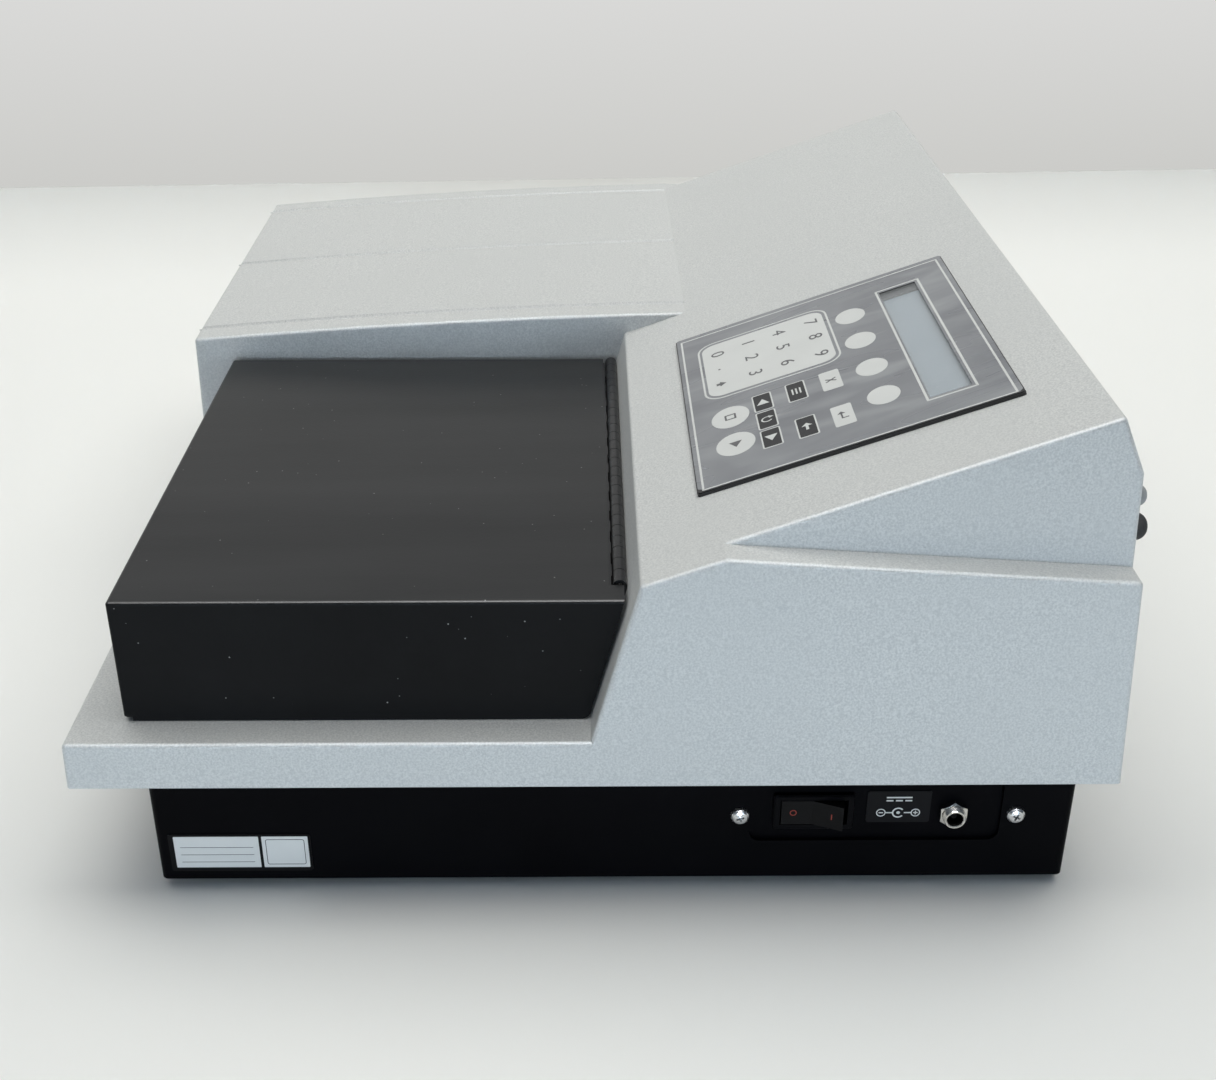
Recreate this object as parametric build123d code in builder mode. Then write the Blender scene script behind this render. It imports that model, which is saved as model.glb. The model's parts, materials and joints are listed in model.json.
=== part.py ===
from build123d import *
import os
from math import atan, cos, degrees, hypot, sin

# Benchtop absorbance reader for 96-well microplates, in millimetres.
# +X is the operator's right, +Y is the rear and +Z is up. The origin is on the bench, under the
# centre of the whole instrument. Sizes named *_d are measured back from the cover's front edge.

os.makedirs("parts", exist_ok=True)

# ---- moulded top cover ----
cover_width = 425.4
cover_depth = 342.9
cover_wall = 4.0
cover_bottom_z = 48.1
side_draft = 0.0576
front_draft = 0.02
rear_draft = 0.04
ledge_z = 64.5
console_foot_d = 170.3
console_edge_d = 185.7
console_edge_z = 120.4
keypad_rise = 0.351
crease_run = 25.9
crease_d = console_edge_d + crease_run
console_back_inset = 12.4
console_back_d = cover_depth - console_back_inset
rear_break_z = 152.4
rear_break_d = cover_depth - rear_draft * (rear_break_z - cover_bottom_z)
hump_wall_x = -7.4
hump_front_z = 118.3
hump_crown = 1.8
groove_x = (-21.7, -109.0, -195.8)
groove_width = 3.2
groove_steep_width = 0.8
groove_depth = 1.3
upper_inset = 14.8
upper_half_width = cover_width / 2 - upper_inset
upper_draft = 0.036
side_ledge_d = crease_d
side_ledge_fall = 0.0664
edge_radius = 1.6
bumper_diameter = 9.0
bumper_height = 6.0
bumper_inset = 25.7
bumper_x = cover_width / 2 - bumper_inset
bumper_z = 129.5
plug_diameter = 7.0
plug_z = 140.5
plug_height = 4.6
stud_diameter = 4.0

# ---- chassis tray, feet and cover screws ----
tray_side_inset = 8.2
tray_width = cover_width - 2 * tray_side_inset
tray_front_d = 23.2
tray_rear_inset = 11.0
tray_rear_d = cover_depth - tray_rear_inset
tray_bottom_z = 3.4
tray_top_z = 58.0
tray_sheet = 1.5
tray_flange = 12.0
tray_corner = 2.5
foot_diameter = 18.0
foot_side_inset = 24.0
foot_end_inset = 12.0
foot_stem = 6.0
foot_stem_end = 2.0
foot_bevel = 0.7
press_gap = 0.02
slip_gap = 0.3
screw_diameter = 3.0
screw_clearance = 0.25
screw_head_diameter = 6.4
screw_head_height = 2.2
screw_head_bevel = 0.5
screw_head_round = 1.2
screw_end = 3.0
cover_screw_depth = 5.0
cover_screw_end = 38.0

# ---- power panel on the right side ----
recess_length = 84.5
recess_rear_gap = 24.1
recess_rear_d = tray_rear_d - recess_rear_gap
recess_front_d = recess_rear_d - recess_length
recess_bottom_z = 18.7
recess_top_z = 51.0
recess_corner = 4.0
panel_sheet = 1.5
panel_margin = 11.0
panel_screw_front_gap = 3.1
panel_screw_rear_gap = 4.8
panel_screw_front_d = recess_front_d - panel_screw_front_gap
panel_screw_rear_d = recess_rear_d + panel_screw_rear_gap
panel_screw_z = 29.6
switch_offset = 21.6
switch_d = recess_front_d + switch_offset
switch_z = 30.8
bezel_length = 27.1
bezel_height = 14.0
bezel_proud = 2.0
bezel_corner = 1.0
bezel_bevel = 0.5
switch_depth = 20.0
rocker_length = 20.5
rocker_height = 9.6
rocker_end_gap = 1.1
rocker_tilt = 11.0
rocker_pivot_depth = 2.3
rocker_pocket_depth = 8.5
rocker_rise = 2.0
terminal_length = 7.0
terminal_pitch = 7.0
terminal_width = 4.8
terminal_sheet = 0.8
jack_offset = 68.5
jack_d = recess_front_d + jack_offset
jack_z = 29.6
nut_across_flats = 8.8
nut_height = 2.6
jack_barrel = 7.0
jack_bore = 5.6
jack_bore_depth = 14.4
jack_pin = 2.1
jack_reach = 4.6
jack_body_size = 11.0
jack_body_depth = 14.0
plate_offset = 39.5
plate_front_d = recess_front_d + plate_offset
plate_length = 21.4
plate_height = 12.9
plate_bottom_z = 25.4
plate_thickness = 0.3
plate_corner = 0.8
label_front_d = 27.5
label_length = 48.0
label_height = 15.6
label_bottom_z = 7.0

# ---- keypad and display on the sloping console ----
keypad_width = 137.5
keypad_height = 110.2
keypad_side_gap = 35.4
keypad_left = upper_half_width - keypad_side_gap - keypad_width
keypad_start = ((console_back_d - console_edge_d) * hypot(1, keypad_rise) - keypad_height) / 2
keypad_corner = 1.0
backer_thickness = 1.0
overlay_thickness = 0.35
overlay_margin = 0.4
window_offset_x = 69.7
window_offset_s = 89.2
window_centre_x = keypad_left + window_offset_x
window_centre_s = keypad_start + window_offset_s
window_width = 102.0
window_height = 14.2
window_lip = 1.8
view_width = 98.0
view_height = 15.6
view_offset = 1.8
view_depth = 0.6
module_width = 120.0
module_height = 36.0
module_board = 1.6
module_frame_width = 108.0
module_frame_height = 22.0
module_frame_gap = 0.5
module_frame_depth = 6.2
module_boss = 6.0
module_boss_x = 57.0
module_boss_s = 15.0

# ---- plate lid and its piano hinge ----
lid_side_gap = 1.7
lid_left_x = hump_wall_x + lid_side_gap
lid_right_inset = 14.3
lid_right_x = cover_width / 2 - lid_right_inset
lid_front_d = 17.4
lid_rear_top_d = 181.2
lid_rear_bottom_d = 169.7
lid_top_z = 109.6
lid_sheet = 1.5
lid_gap = 0.3
lid_bend = 1.2
lid_corner = 3.0
notch_inset = 10.0
notch_right_x = lid_right_x - notch_inset
notch_edge_d = 176.5
notch_depth = 6.0
hinge_axis_d = 179.8
hinge_axis_z = 108.4
knuckle_radius = 2.4
knuckle_count = 25
knuckle_gap = 0.3
hinge_left_gap = 1.8
hinge_left_x = lid_left_x + hinge_left_gap
hinge_right_gap = 0.9
hinge_right_x = notch_right_x - hinge_right_gap
hinge_pin_radius = 1.1
running_gap = 0.05
leaf_thickness = 0.9
leaf_reach = 16.0
hinge_screw_count = 6
hinge_screw_drop = 10.0
hinge_screw_diameter = 2.5
hinge_head_diameter = 4.4
hinge_head_height = 1.0

bay_left_gap = 11.7
bay_left_x = lid_left_x + bay_left_gap
bay_right_gap = 12.4
bay_right_x = lid_right_x - bay_right_gap
bay_front_d = 36.5
bay_rear_d = 160.0
bay_corner = 5.0

# ---- carrier, guide rods and belt ----
rod_diameter = 8.0
rod_z = 32.0
rod_spacing = 88.0
carrier_centre_d = 94.0
rod_left_gap = 5.0
rod_left_x = tray_sheet + rod_left_gap - tray_width / 2
rod_right_gap = 19.0
rod_right_x = tray_width / 2 - tray_sheet - rod_right_gap
rod_bevel = 0.6
bracket_thickness = 6.0
bracket_end = 9.5
bracket_top_z = 39.0
carrier_length = 146.0
carrier_corner = 4.0
carrier_rest_gap = 10.0
carrier_rest_x = rod_right_x - bracket_thickness - carrier_rest_gap - carrier_length / 2
carrier_end_gap = 6.0
carrier_travel = (
    carrier_rest_x - carrier_length / 2 - rod_left_x - bracket_thickness - carrier_end_gap
)
carrier_width = 104.0
carrier_bottom_z = 40.0
carrier_floor = 3.0
carrier_rim_z = 52.0
plate_slot_length = 128.4
plate_slot_width = 86.1
light_window_length = 112.0
light_window_width = 76.0
finger_notch = 34.0
bushing_diameter = 12.0
bushing_length = 20.0
bushing_inset = 22.0
lug_width = 16.0
lug_bottom_z = 25.0
belt_d = 160.0
belt_width = 6.0
belt_thickness = 1.3
pulley_radius = 6.0
pulley_flange = 1.2
pulley_flange_radius = 8.2
drive_pulley_gap = 22.0
drive_pulley_x = rod_left_x + drive_pulley_gap
idler_pulley_gap = 16.0
idler_pulley_x = rod_right_x - idler_pulley_gap
idler_bracket_width = 24.0
idler_bracket_rise = 10.0
idler_foot = 16.0
idler_corner = 6.0
motor_size = 42.0
motor_length = 34.0
motor_shaft = 5.0
motor_boss = 22.0
motor_corner = 4.0
motor_bracket_margin = 2.0
bracket_sheet = 3.0
motor_plate_d = 168.0
idler_axle = 4.0
clamp_length = 20.0
clip_arm = 22.0
clip_pin_diameter = 3.0
clip_thickness = 2.5
clip_gap = 4.6
clip_taper = 4.4
clamp_jaw = 3.0
clamp_back = 2.0

# ---- optics in the hump ----
optics_x = -62.0
channel_count = 8
channel_pitch = 9.0
bridge_left_x = -122.0
bridge_right_x = -22.0
bridge_front_d = 36.0
bridge_rear_d = 173.0
bridge_deck_z = 66.0
bridge_foot = 10.0
bridge_corner = 4.0
lens_block_width = 14.0
lens_block_length = 76.0
lens_block_bottom_z = 60.0
lens_flange = 5.0
lens_flange_height = 4.0
lens_bore = 5.0
lens_thickness = 2.2
lens_seat = 0.5
chamber_top_z = 82.0
filter_ring_radius = 32.0
filter_count = 6
filter_diameter = 12.7
filter_thickness = 4.0
wheel_radius = 44.0
wheel_bottom_z = 84.0
wheel_thickness = 6.0
wheel_hub_radius = 9.0
wheel_gap = 2.0
spindle_diameter = 5.0
filter_motor_radius = 17.5
filter_motor_height = 12.0
lamp_bottom_z = 94.0
lamp_height = 20.0
lamp_length = 38.0
lamp_width = 40.0
lamp_fin_depth = 6.0
lamp_fin_gap = 2.4
lamp_fin_count = 6
lamp_bore = 14.0
lamp_roof = 1.5
lamp_bracket_x = -40.0
bulb_diameter = 9.0
bulb_length = 13.0
plate_slot_corner = 0.8
rim_bevel = 1.2
light_window_corner = 3.0
detector_board_z = 20.0
detector_board_width = 30.0
detector_board_length = 96.0
photodiode_diameter = 5.5
photodiode_height = 3.0

# ---- circuit boards and rear ports ----
board_thickness = 1.6
board_z = 16.0
main_board_x = -5.0
board_rear_gap = 19.9
main_board_width = 190.0
main_board_length = 100.0
main_board_d = tray_rear_d - board_rear_gap - main_board_length / 2
power_board_width = 64.0
power_board_gap = 38.5
power_board_x = tray_width / 2 - power_board_gap - power_board_width / 2
standoff_diameter = 6.0
standoff_inset = 6.0
port_z = 32.0
serial_x = 60.0
parallel_x = 118.0
port_shell_height = 8.4
serial_shell = 16.9
parallel_shell = 38.3
serial_screw_pitch = 24.99
parallel_screw_pitch = 47.04
port_flange_height = 12.5
port_flange_margin = 3.4
port_flange = 1.0
port_flange_corner = 1.0
port_rim = 1.0
port_shell_corner = 1.6
port_shell_reach = 5.8
port_block_depth = 9.0
jackscrew_flats = 4.8
jackscrew_reach = 5.4
jackscrew_bore = 2.8
jackscrew_bore_depth = 4.6
jackscrew_end = 2.0
ribbon_width = 26.0
ribbon_thickness = 0.9
ribbon_offset = 75.0
ribbon_x = main_board_x + ribbon_offset
ribbon_drop = 16.0
component_height = 3.2
capacitor_height = 14.0
# offset across and along its board, width and length of each component block
main_blocks = (
    (-65.0, 22.0, 24.0, 24.0),
    (-25.0, 22.0, 38.0, 15.0),
    (-65.0, -14.0, 34.0, 9.0),
    (-25.0, -14.0, 34.0, 9.0),
    (15.0, -14.0, 26.0, 8.0),
    (19.0, 24.0, 16.0, 12.0),
    (-79.0, -36.0, 12.0, 20.0),
    (-5.0, -38.0, 40.0, 8.0),
    (ribbon_offset, 0.0, 34.0, 6.0),
)
power_blocks = ((-10.0, 16.0, 28.0, 18.0), (12.0, -30.0, 10.0, 20.0))
# offset across and along its board and radius of each can capacitor
main_cans = ((47.0, 30.0, 5.0), (61.0, 30.0, 5.0))
power_cans = ((-16.0, -20.0, 8.0), (16.0, 20.0, 6.5))
tail_slot = 3.0
tail_slot_s = 8.0
ribbon_bend = 8.0

# ---- places worked out from the sizes above ----
bumper_seat_d = (
    cover_depth - rear_draft * (bumper_z - cover_bottom_z) + rear_draft * bumper_diameter / 2
)
plug_seat_d = cover_depth - rear_draft * (plug_z - cover_bottom_z) + rear_draft * plug_diameter / 2
overall_depth = bumper_seat_d + bumper_height
front_y = -overall_depth / 2
tray_centre_y = front_y + (tray_front_d + tray_rear_d) / 2
tray_depth = tray_rear_d - tray_front_d
tray_floor_z = tray_bottom_z + tray_sheet
tray_side_x = tray_width / 2
carrier_y = front_y + carrier_centre_d
bay_width = bay_right_x - bay_left_x
bay_length = bay_rear_d - bay_front_d
bay_centre_x = (bay_left_x + bay_right_x) / 2
bay_centre_d = (bay_front_d + bay_rear_d) / 2
rod_front_y = carrier_y - rod_spacing / 2
rod_rear_y = carrier_y + rod_spacing / 2
belt_y = front_y + belt_d
filter_axis_x = optics_x - filter_ring_radius
panel_face_x = tray_side_x - tray_sheet
recess_height = recess_top_z - recess_bottom_z
recess_centre_z = recess_bottom_z + recess_height / 2
panel_screw_points = [
    (front_y + panel_screw_front_d, panel_screw_z),
    (front_y + panel_screw_rear_d, panel_screw_z),
]
detector_posts = [
    (optics_x + x, carrier_y + y)
    for x in (standoff_inset - detector_board_width / 2, detector_board_width / 2 - standoff_inset)
    for y in (standoff_inset - detector_board_length / 2, detector_board_length / 2 - standoff_inset)
]
foot_names = ["foot_front_left", "foot_front_right", "foot_rear_left", "foot_rear_right"]
foot_points = [
    (x, y)
    for y in (front_y + tray_front_d + foot_end_inset, front_y + tray_rear_d - foot_end_inset)
    for x in (-tray_side_x + foot_side_inset, tray_side_x - foot_side_inset)
]
port_sizes = [
    (serial_x, serial_shell, serial_screw_pitch),
    (parallel_x, parallel_shell, parallel_screw_pitch),
]
keypad_angle = degrees(atan(keypad_rise))
keypad_normal = (0, -sin(atan(keypad_rise)), cos(atan(keypad_rise)))
keypad_plane = Plane(
    origin=(0, front_y + console_edge_d, console_edge_z), x_dir=(1, 0, 0), z_dir=keypad_normal
)
console_lean = (console_edge_d - console_foot_d) / (console_edge_z - ledge_z)


def keypad_z(distance):
    """Height of the keypad plane at a distance behind the cover's front edge."""
    return console_edge_z + keypad_rise * (distance - console_edge_d)


def side_half_width(z):
    """Half width of the drafted cover at a height."""
    return cover_width / 2 - side_draft * (z - cover_bottom_z)


def upper_side(z):
    """Half width of the narrower upper console at a height."""
    return upper_half_width - upper_draft * (z - keypad_z(side_ledge_d))


def hump_start():
    """Front top corner of the hump in the YZ plane."""
    return (front_y + front_draft * (hump_front_z - cover_bottom_z), hump_front_z)


def crease():
    """Where the hump's arched top meets the keypad plane, in the YZ plane."""
    return (front_y + crease_d, keypad_z(crease_d))


def cover_form(inset):
    """The cover's outer form, or with an inset its cavity, which runs out of the bottom."""
    base_z = cover_bottom_z - 2 * inset
    high_z = keypad_z(console_back_d) + cover_wall
    middle_y = (hump_start()[0] + crease()[0]) / 2
    middle_z = (hump_start()[1] + crease()[1]) / 2 + hump_crown
    side_ledge_z = keypad_z(side_ledge_d)
    far_d = cover_depth + cover_wall
    with BuildPart() as ledge_cut:
        with BuildSketch(Plane.YZ):
            with BuildLine():
                Polyline(
                    (front_y + side_ledge_d, side_ledge_z),
                    (front_y + far_d, side_ledge_z - side_ledge_fall * (far_d - side_ledge_d)),
                    (front_y + far_d, high_z + cover_wall),
                    (front_y + side_ledge_d, high_z + cover_wall),
                    close=True,
                )
            make_face()
            if inset:
                offset(amount=inset, kind=Kind.INTERSECTION)
        extrude(amount=cover_width)
        with BuildSketch(Plane.XZ):
            with BuildLine():
                Polyline(
                    (upper_side(ledge_z), ledge_z),
                    (cover_width, ledge_z),
                    (cover_width, high_z + 2 * cover_wall),
                    (upper_side(high_z + 2 * cover_wall), high_z + 2 * cover_wall),
                    close=True,
                )
            make_face()
            if inset:
                offset(amount=inset, kind=Kind.INTERSECTION)
        extrude(amount=cover_depth, both=True, mode=Mode.INTERSECT)
        mirror(about=Plane.YZ)
    with BuildPart() as form:
        with BuildSketch(Plane.YZ):
            with BuildLine():
                ThreePointArc(hump_start(), (middle_y, middle_z), crease())
                Polyline(
                    crease(),
                    (front_y + console_back_d, keypad_z(console_back_d)),
                    (front_y + rear_break_d, rear_break_z),
                    (front_y + cover_depth - rear_draft * (base_z - cover_bottom_z), base_z),
                    (front_y + front_draft * (base_z - cover_bottom_z), base_z),
                    hump_start(),
                )
            make_face()
            if inset:
                offset(amount=-inset, kind=Kind.INTERSECTION)
        extrude(amount=cover_width, both=True)
        with BuildSketch(Plane.XZ):
            with BuildLine():
                Polyline(
                    (side_half_width(base_z), base_z),
                    (side_half_width(high_z), high_z),
                    (-side_half_width(high_z), high_z),
                    (-side_half_width(base_z), base_z),
                    close=True,
                )
            make_face()
            if inset:
                offset(amount=-inset, kind=Kind.INTERSECTION)
        extrude(amount=cover_depth, both=True, mode=Mode.INTERSECT)
        with BuildSketch(Plane.YZ.offset(hump_wall_x - inset)):
            with BuildLine():
                Polyline(
                    (front_y - cover_wall, ledge_z),
                    (front_y + console_foot_d, ledge_z),
                    (front_y + console_edge_d, console_edge_z),
                    crease(),
                    (front_y + crease_d, high_z),
                    (front_y - cover_wall, high_z),
                    close=True,
                )
            make_face()
            if inset:
                offset(amount=inset, kind=Kind.INTERSECTION)
        extrude(amount=cover_width, mode=Mode.SUBTRACT)
        add(ledge_cut.part, mode=Mode.SUBTRACT)
    return form.part


def outer_corners(part):
    """Edges above the cover's rim where two faces meet in an outward corner."""
    corners = []
    for edge in part.edges().filter_by(lambda e: e.center().Z > cover_bottom_z + edge_radius):
        first, second = part.faces().filter_by(lambda f: edge in f.edges())
        rise = (second.center() - edge.center()).dot(first.normal_at(edge.center()))
        if rise < 0 and abs(first.normal_at().dot(second.normal_at())) < 0.98:
            corners.append(edge)
    return corners


def screw_points():
    """Places of the six screws that hold the cover down on the tray's flanges."""
    rows = (
        front_y + tray_front_d + cover_screw_end,
        front_y + console_edge_d,
        front_y + tray_rear_d - cover_screw_end,
    )
    side = tray_side_x - tray_flange / 2
    return [(x, y) for y in rows for x in (-side, side)]


# ---- hinge line ----
hinge_y = front_y + hinge_axis_d
knuckle_pitch = (hinge_right_x - hinge_left_x) / knuckle_count
face_lean = atan(console_lean)
# plane on the console's leaning front face: x along the hinge, y up the face, z out of the face
face_plane = Plane(
    origin=(0, front_y + console_foot_d, ledge_z),
    x_dir=(1, 0, 0),
    z_dir=(0, -cos(face_lean), sin(face_lean)),
)
hinge_on_face = face_plane.to_local_coords(Vector(0, hinge_y, hinge_axis_z))
hinge_screw_pitch = (hinge_right_x - hinge_left_x) / hinge_screw_count
hinge_screw_points = [
    (hinge_left_x + hinge_screw_pitch * (i + 0.5), hinge_on_face.Y - hinge_screw_drop)
    for i in range(hinge_screw_count)
]

# ---- casing ----
hump_chord = hypot(crease()[0] - hump_start()[0], crease()[1] - hump_start()[1])
hump_radius = (hump_chord**2 / 4 + hump_crown**2) / (2 * hump_crown)
chord_y = (crease()[0] - hump_start()[0]) / hump_chord
chord_z = (crease()[1] - hump_start()[1]) / hump_chord
hump_centre_y = (hump_start()[0] + crease()[0]) / 2 + chord_z * (hump_radius - hump_crown)
hump_centre_z = (hump_start()[1] + crease()[1]) / 2 - chord_y * (hump_radius - hump_crown)
hump_axis = Axis((0, hump_centre_y, hump_centre_z), (1, 0, 0))
groove_plane = Plane(
    origin=(0, hump_centre_y, hump_centre_z),
    x_dir=(1, 0, 0),
    z_dir=(0, hump_centre_z - crease()[1], crease()[0] - hump_centre_y),
)
groove_sweep = degrees((hump_chord + cover_wall) / hump_radius)
window_plane = keypad_plane.offset(-2 * cover_wall)
module_points = [
    (window_centre_x + x, window_centre_s + s)
    for x in (-module_boss_x, module_boss_x)
    for s in (-module_boss_s, module_boss_s)
]
module_top = slip_gap
module_board_top = module_top + module_frame_depth

with BuildPart() as top_cover:
    add(cover_form(0))
    fillet(outer_corners(top_cover.part), edge_radius)
    add(cover_form(cover_wall), mode=Mode.SUBTRACT)
    # ring inside the skirt that stands on the tray's flanges
    with BuildSketch(Plane.XY.offset(tray_top_z)):
        with Locations((0, front_y + cover_depth / 2)):
            Rectangle(cover_width - cover_wall, cover_depth - cover_wall)
        with Locations((0, tray_centre_y)):
            Rectangle(
                tray_width - 2 * tray_flange, tray_depth - 2 * tray_flange, mode=Mode.SUBTRACT
            )
    extrude(amount=ledge_z - cover_wall - tray_top_z)
    with BuildSketch(Plane.XY.offset(ledge_z - cover_wall)):
        with Locations(*screw_points()):
            Circle(screw_diameter)
    extrude(amount=cover_wall)
    with BuildSketch(Plane.XY.offset(tray_top_z)):
        with Locations(*screw_points()):
            Circle(screw_diameter / 2 + press_gap)
    extrude(amount=cover_screw_depth + slip_gap, mode=Mode.SUBTRACT)
    # loading opening under the lid
    with BuildSketch(Plane.XY.offset(tray_top_z - 1)):
        with Locations((bay_centre_x, front_y + bay_centre_d)):
            RectangleRounded(bay_width, bay_length, bay_corner)
    extrude(amount=ledge_z - tray_top_z + 2, mode=Mode.SUBTRACT)
    # display window, tail slot and the bosses that carry the display module
    with BuildSketch(window_plane):
        with Locations((window_centre_x, window_centre_s)):
            Rectangle(
                module_frame_width + 2 * module_frame_gap, module_frame_height + 2 * module_frame_gap
            )
        with Locations((keypad_left + keypad_width / 2, keypad_start + tail_slot_s)):
            Rectangle(ribbon_width + tail_slot, tail_slot)
    extrude(amount=3 * cover_wall, mode=Mode.SUBTRACT)
    with BuildSketch(keypad_plane.offset(-module_board_top)):
        with Locations(*module_points):
            Circle(module_boss / 2)
    extrude(amount=module_board_top - cover_wall / 2)
    # V grooves that run back over the hump, turned about the centre of its arched top
    for x in groove_x:
        with BuildSketch(groove_plane):
            with BuildLine():
                Polyline(
                    (x - groove_steep_width, hump_radius),
                    (x, hump_radius - groove_depth),
                    (x + groove_width - groove_steep_width, hump_radius),
                    (x + groove_width - groove_steep_width, hump_radius + groove_depth),
                    (x - groove_steep_width, hump_radius + groove_depth),
                    close=True,
                )
            make_face()
        revolve(axis=hump_axis, revolution_arc=groove_sweep, mode=Mode.SUBTRACT)
    # holes for the hinge screws in the console's front face
    with BuildSketch(face_plane):
        with Locations(*hinge_screw_points):
            Circle(hinge_screw_diameter / 2 + press_gap)
    extrude(amount=-2 * cover_wall, mode=Mode.SUBTRACT)
    # stud holes of the bumpers and plugs in the rear wall
    with BuildSketch(Plane.XZ.offset(-front_y - cover_depth)):
        with Locations(*[(x, z) for x in (-bumper_x, bumper_x) for z in (bumper_z, plug_z)]):
            Circle(stud_diameter / 2 + press_gap)
    extrude(amount=4 * cover_wall, mode=Mode.SUBTRACT)
top_cover.part.label = "top_cover"
export_step(top_cover.part, "parts/top_cover.step")

with BuildPart() as chassis_tray:
    with BuildSketch(Plane.XY.offset(tray_bottom_z)):
        with Locations((0, tray_centre_y)):
            RectangleRounded(tray_width, tray_depth, tray_corner)
    extrude(amount=tray_top_z - tray_bottom_z)
    offset(amount=-tray_sheet, openings=chassis_tray.faces().sort_by(Axis.Z)[-1])
    # flanges turned inwards along the top
    with BuildSketch(Plane.XY.offset(tray_top_z - tray_sheet)):
        with Locations((0, tray_centre_y)):
            RectangleRounded(tray_width, tray_depth, tray_corner)
            Rectangle(
                tray_width - 2 * tray_flange, tray_depth - 2 * tray_flange, mode=Mode.SUBTRACT
            )
    extrude(amount=tray_sheet)
    with BuildSketch(Plane.XY.offset(tray_top_z - 2 * tray_sheet)):
        with Locations(*screw_points()):
            Circle(screw_diameter / 2 + screw_clearance)
    extrude(amount=3 * tray_sheet, mode=Mode.SUBTRACT)
    with BuildSketch(Plane.XY.offset(tray_bottom_z - tray_sheet)):
        with Locations(*foot_points):
            Circle(foot_stem / 2 + press_gap)
    extrude(amount=3 * tray_sheet, mode=Mode.SUBTRACT)
    # power recess in the right wall, open up under the cover's skirt
    with BuildSketch(Plane.YZ.offset(panel_face_x - tray_sheet)):
        with Locations((front_y + (recess_front_d + recess_rear_d) / 2, recess_centre_z)):
            RectangleRounded(recess_rear_d - recess_front_d, recess_height, recess_corner)
    extrude(amount=3 * tray_sheet, mode=Mode.SUBTRACT)
    with BuildSketch(Plane.YZ.offset(panel_face_x - tray_sheet)):
        with Locations(*panel_screw_points):
            Circle(screw_diameter / 2 + screw_clearance)
    extrude(amount=3 * tray_sheet, mode=Mode.SUBTRACT)
    # cut-outs for the two ports in the rear wall
    with BuildSketch(Plane.XZ.offset(-(front_y + tray_rear_d + tray_sheet))):
        for x, shell, pitch in port_sizes:
            with Locations((x, port_z)):
                RectangleRounded(
                    shell + port_rim, port_shell_height + port_rim, port_shell_corner
                )
            with Locations((x - pitch / 2, port_z), (x + pitch / 2, port_z)):
                Circle(screw_diameter / 2 + screw_clearance)
    extrude(amount=3 * tray_sheet, mode=Mode.SUBTRACT)
chassis_tray.part.label = "chassis_tray"
export_step(chassis_tray.part, "parts/chassis_tray.step")

for name, (foot_x, foot_y) in zip(foot_names, foot_points):
    with BuildPart() as foot:
        with BuildSketch():
            with Locations((foot_x, foot_y)):
                Circle(foot_diameter / 2)
        extrude(amount=tray_bottom_z)
        chamfer(foot.faces().sort_by(Axis.Z)[0].edges(), foot_bevel)
        with BuildSketch(Plane.XY.offset(tray_bottom_z)):
            with Locations((foot_x, foot_y)):
                Circle(foot_stem / 2)
        extrude(amount=tray_sheet + foot_stem_end)
        chamfer(foot.faces().sort_by(Axis.Z)[-1].edges(), foot_bevel)
    foot.part.label = name
    export_step(foot.part, f"parts/{name}.step")

with BuildPart() as cover_screws:
    with BuildSketch(Plane.XY.offset(tray_top_z - tray_sheet - screw_head_height)):
        with Locations(*screw_points()):
            Circle(screw_head_diameter / 2)
    extrude(amount=screw_head_height)
    chamfer(
        cover_screws.faces().filter_by(Plane.XY).group_by(Axis.Z)[0].edges(), screw_head_bevel
    )
    with BuildSketch(Plane.XY.offset(tray_top_z - tray_sheet)):
        with Locations(*screw_points()):
            Circle(screw_diameter / 2)
    extrude(amount=tray_sheet + cover_screw_depth)
cover_screws.part.label = "cover_screws"
export_step(cover_screws.part, "parts/cover_screws.step")

for name, seat_d, z, diameter, height in (
    ("rear_bumpers", bumper_seat_d, bumper_z, bumper_diameter, bumper_height),
    ("rear_plugs", plug_seat_d, plug_z, plug_diameter, plug_height),
):
    with BuildPart() as button:
        with BuildSketch(Plane.XZ.offset(-front_y - seat_d)):
            with Locations((-bumper_x, z), (bumper_x, z)):
                Circle(diameter / 2)
        extrude(amount=-height)
        fillet(button.faces().group_by(Axis.Y)[-1].edges(), min(height, diameter / 2) - foot_bevel)
        with BuildSketch(Plane.XZ.offset(-front_y - seat_d)):
            with Locations((-bumper_x, z), (bumper_x, z)):
                Circle(stud_diameter / 2)
        extrude(amount=2 * cover_wall)
    button.part.label = name
    export_step(button.part, f"parts/{name}.step")

# ---- power panel ----
panel_front_d = panel_screw_front_d - panel_margin / 2
panel_rear_d = panel_screw_rear_d + panel_margin / 2
panel_centre_y = front_y + (panel_front_d + panel_rear_d) / 2
panel_bottom_z = recess_bottom_z - panel_margin / 2
panel_top_z = tray_top_z - tray_sheet - screw_head_height - slip_gap
switch_y = front_y + switch_d
jack_y = front_y + jack_d
bezel_face_x = panel_face_x + bezel_proud
body_length = bezel_length - 2 * bezel_proud
body_height = bezel_height - bezel_proud

with BuildPart() as power_panel:
    with BuildSketch(Plane.YZ.offset(panel_face_x - panel_sheet)):
        with Locations((panel_centre_y, (panel_bottom_z + panel_top_z) / 2)):
            RectangleRounded(
                panel_rear_d - panel_front_d, panel_top_z - panel_bottom_z, tray_corner
            )
        with Locations((switch_y, switch_z)):
            Rectangle(
                body_length + 2 * press_gap, body_height + 2 * press_gap, mode=Mode.SUBTRACT
            )
        with Locations((jack_y, jack_z)):
            Circle(jack_barrel / 2 + press_gap, mode=Mode.SUBTRACT)
        with Locations(*panel_screw_points):
            Circle(screw_diameter / 2 + press_gap, mode=Mode.SUBTRACT)
    extrude(amount=panel_sheet)
power_panel.part.label = "power_panel"
export_step(power_panel.part, "parts/power_panel.step")

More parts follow.
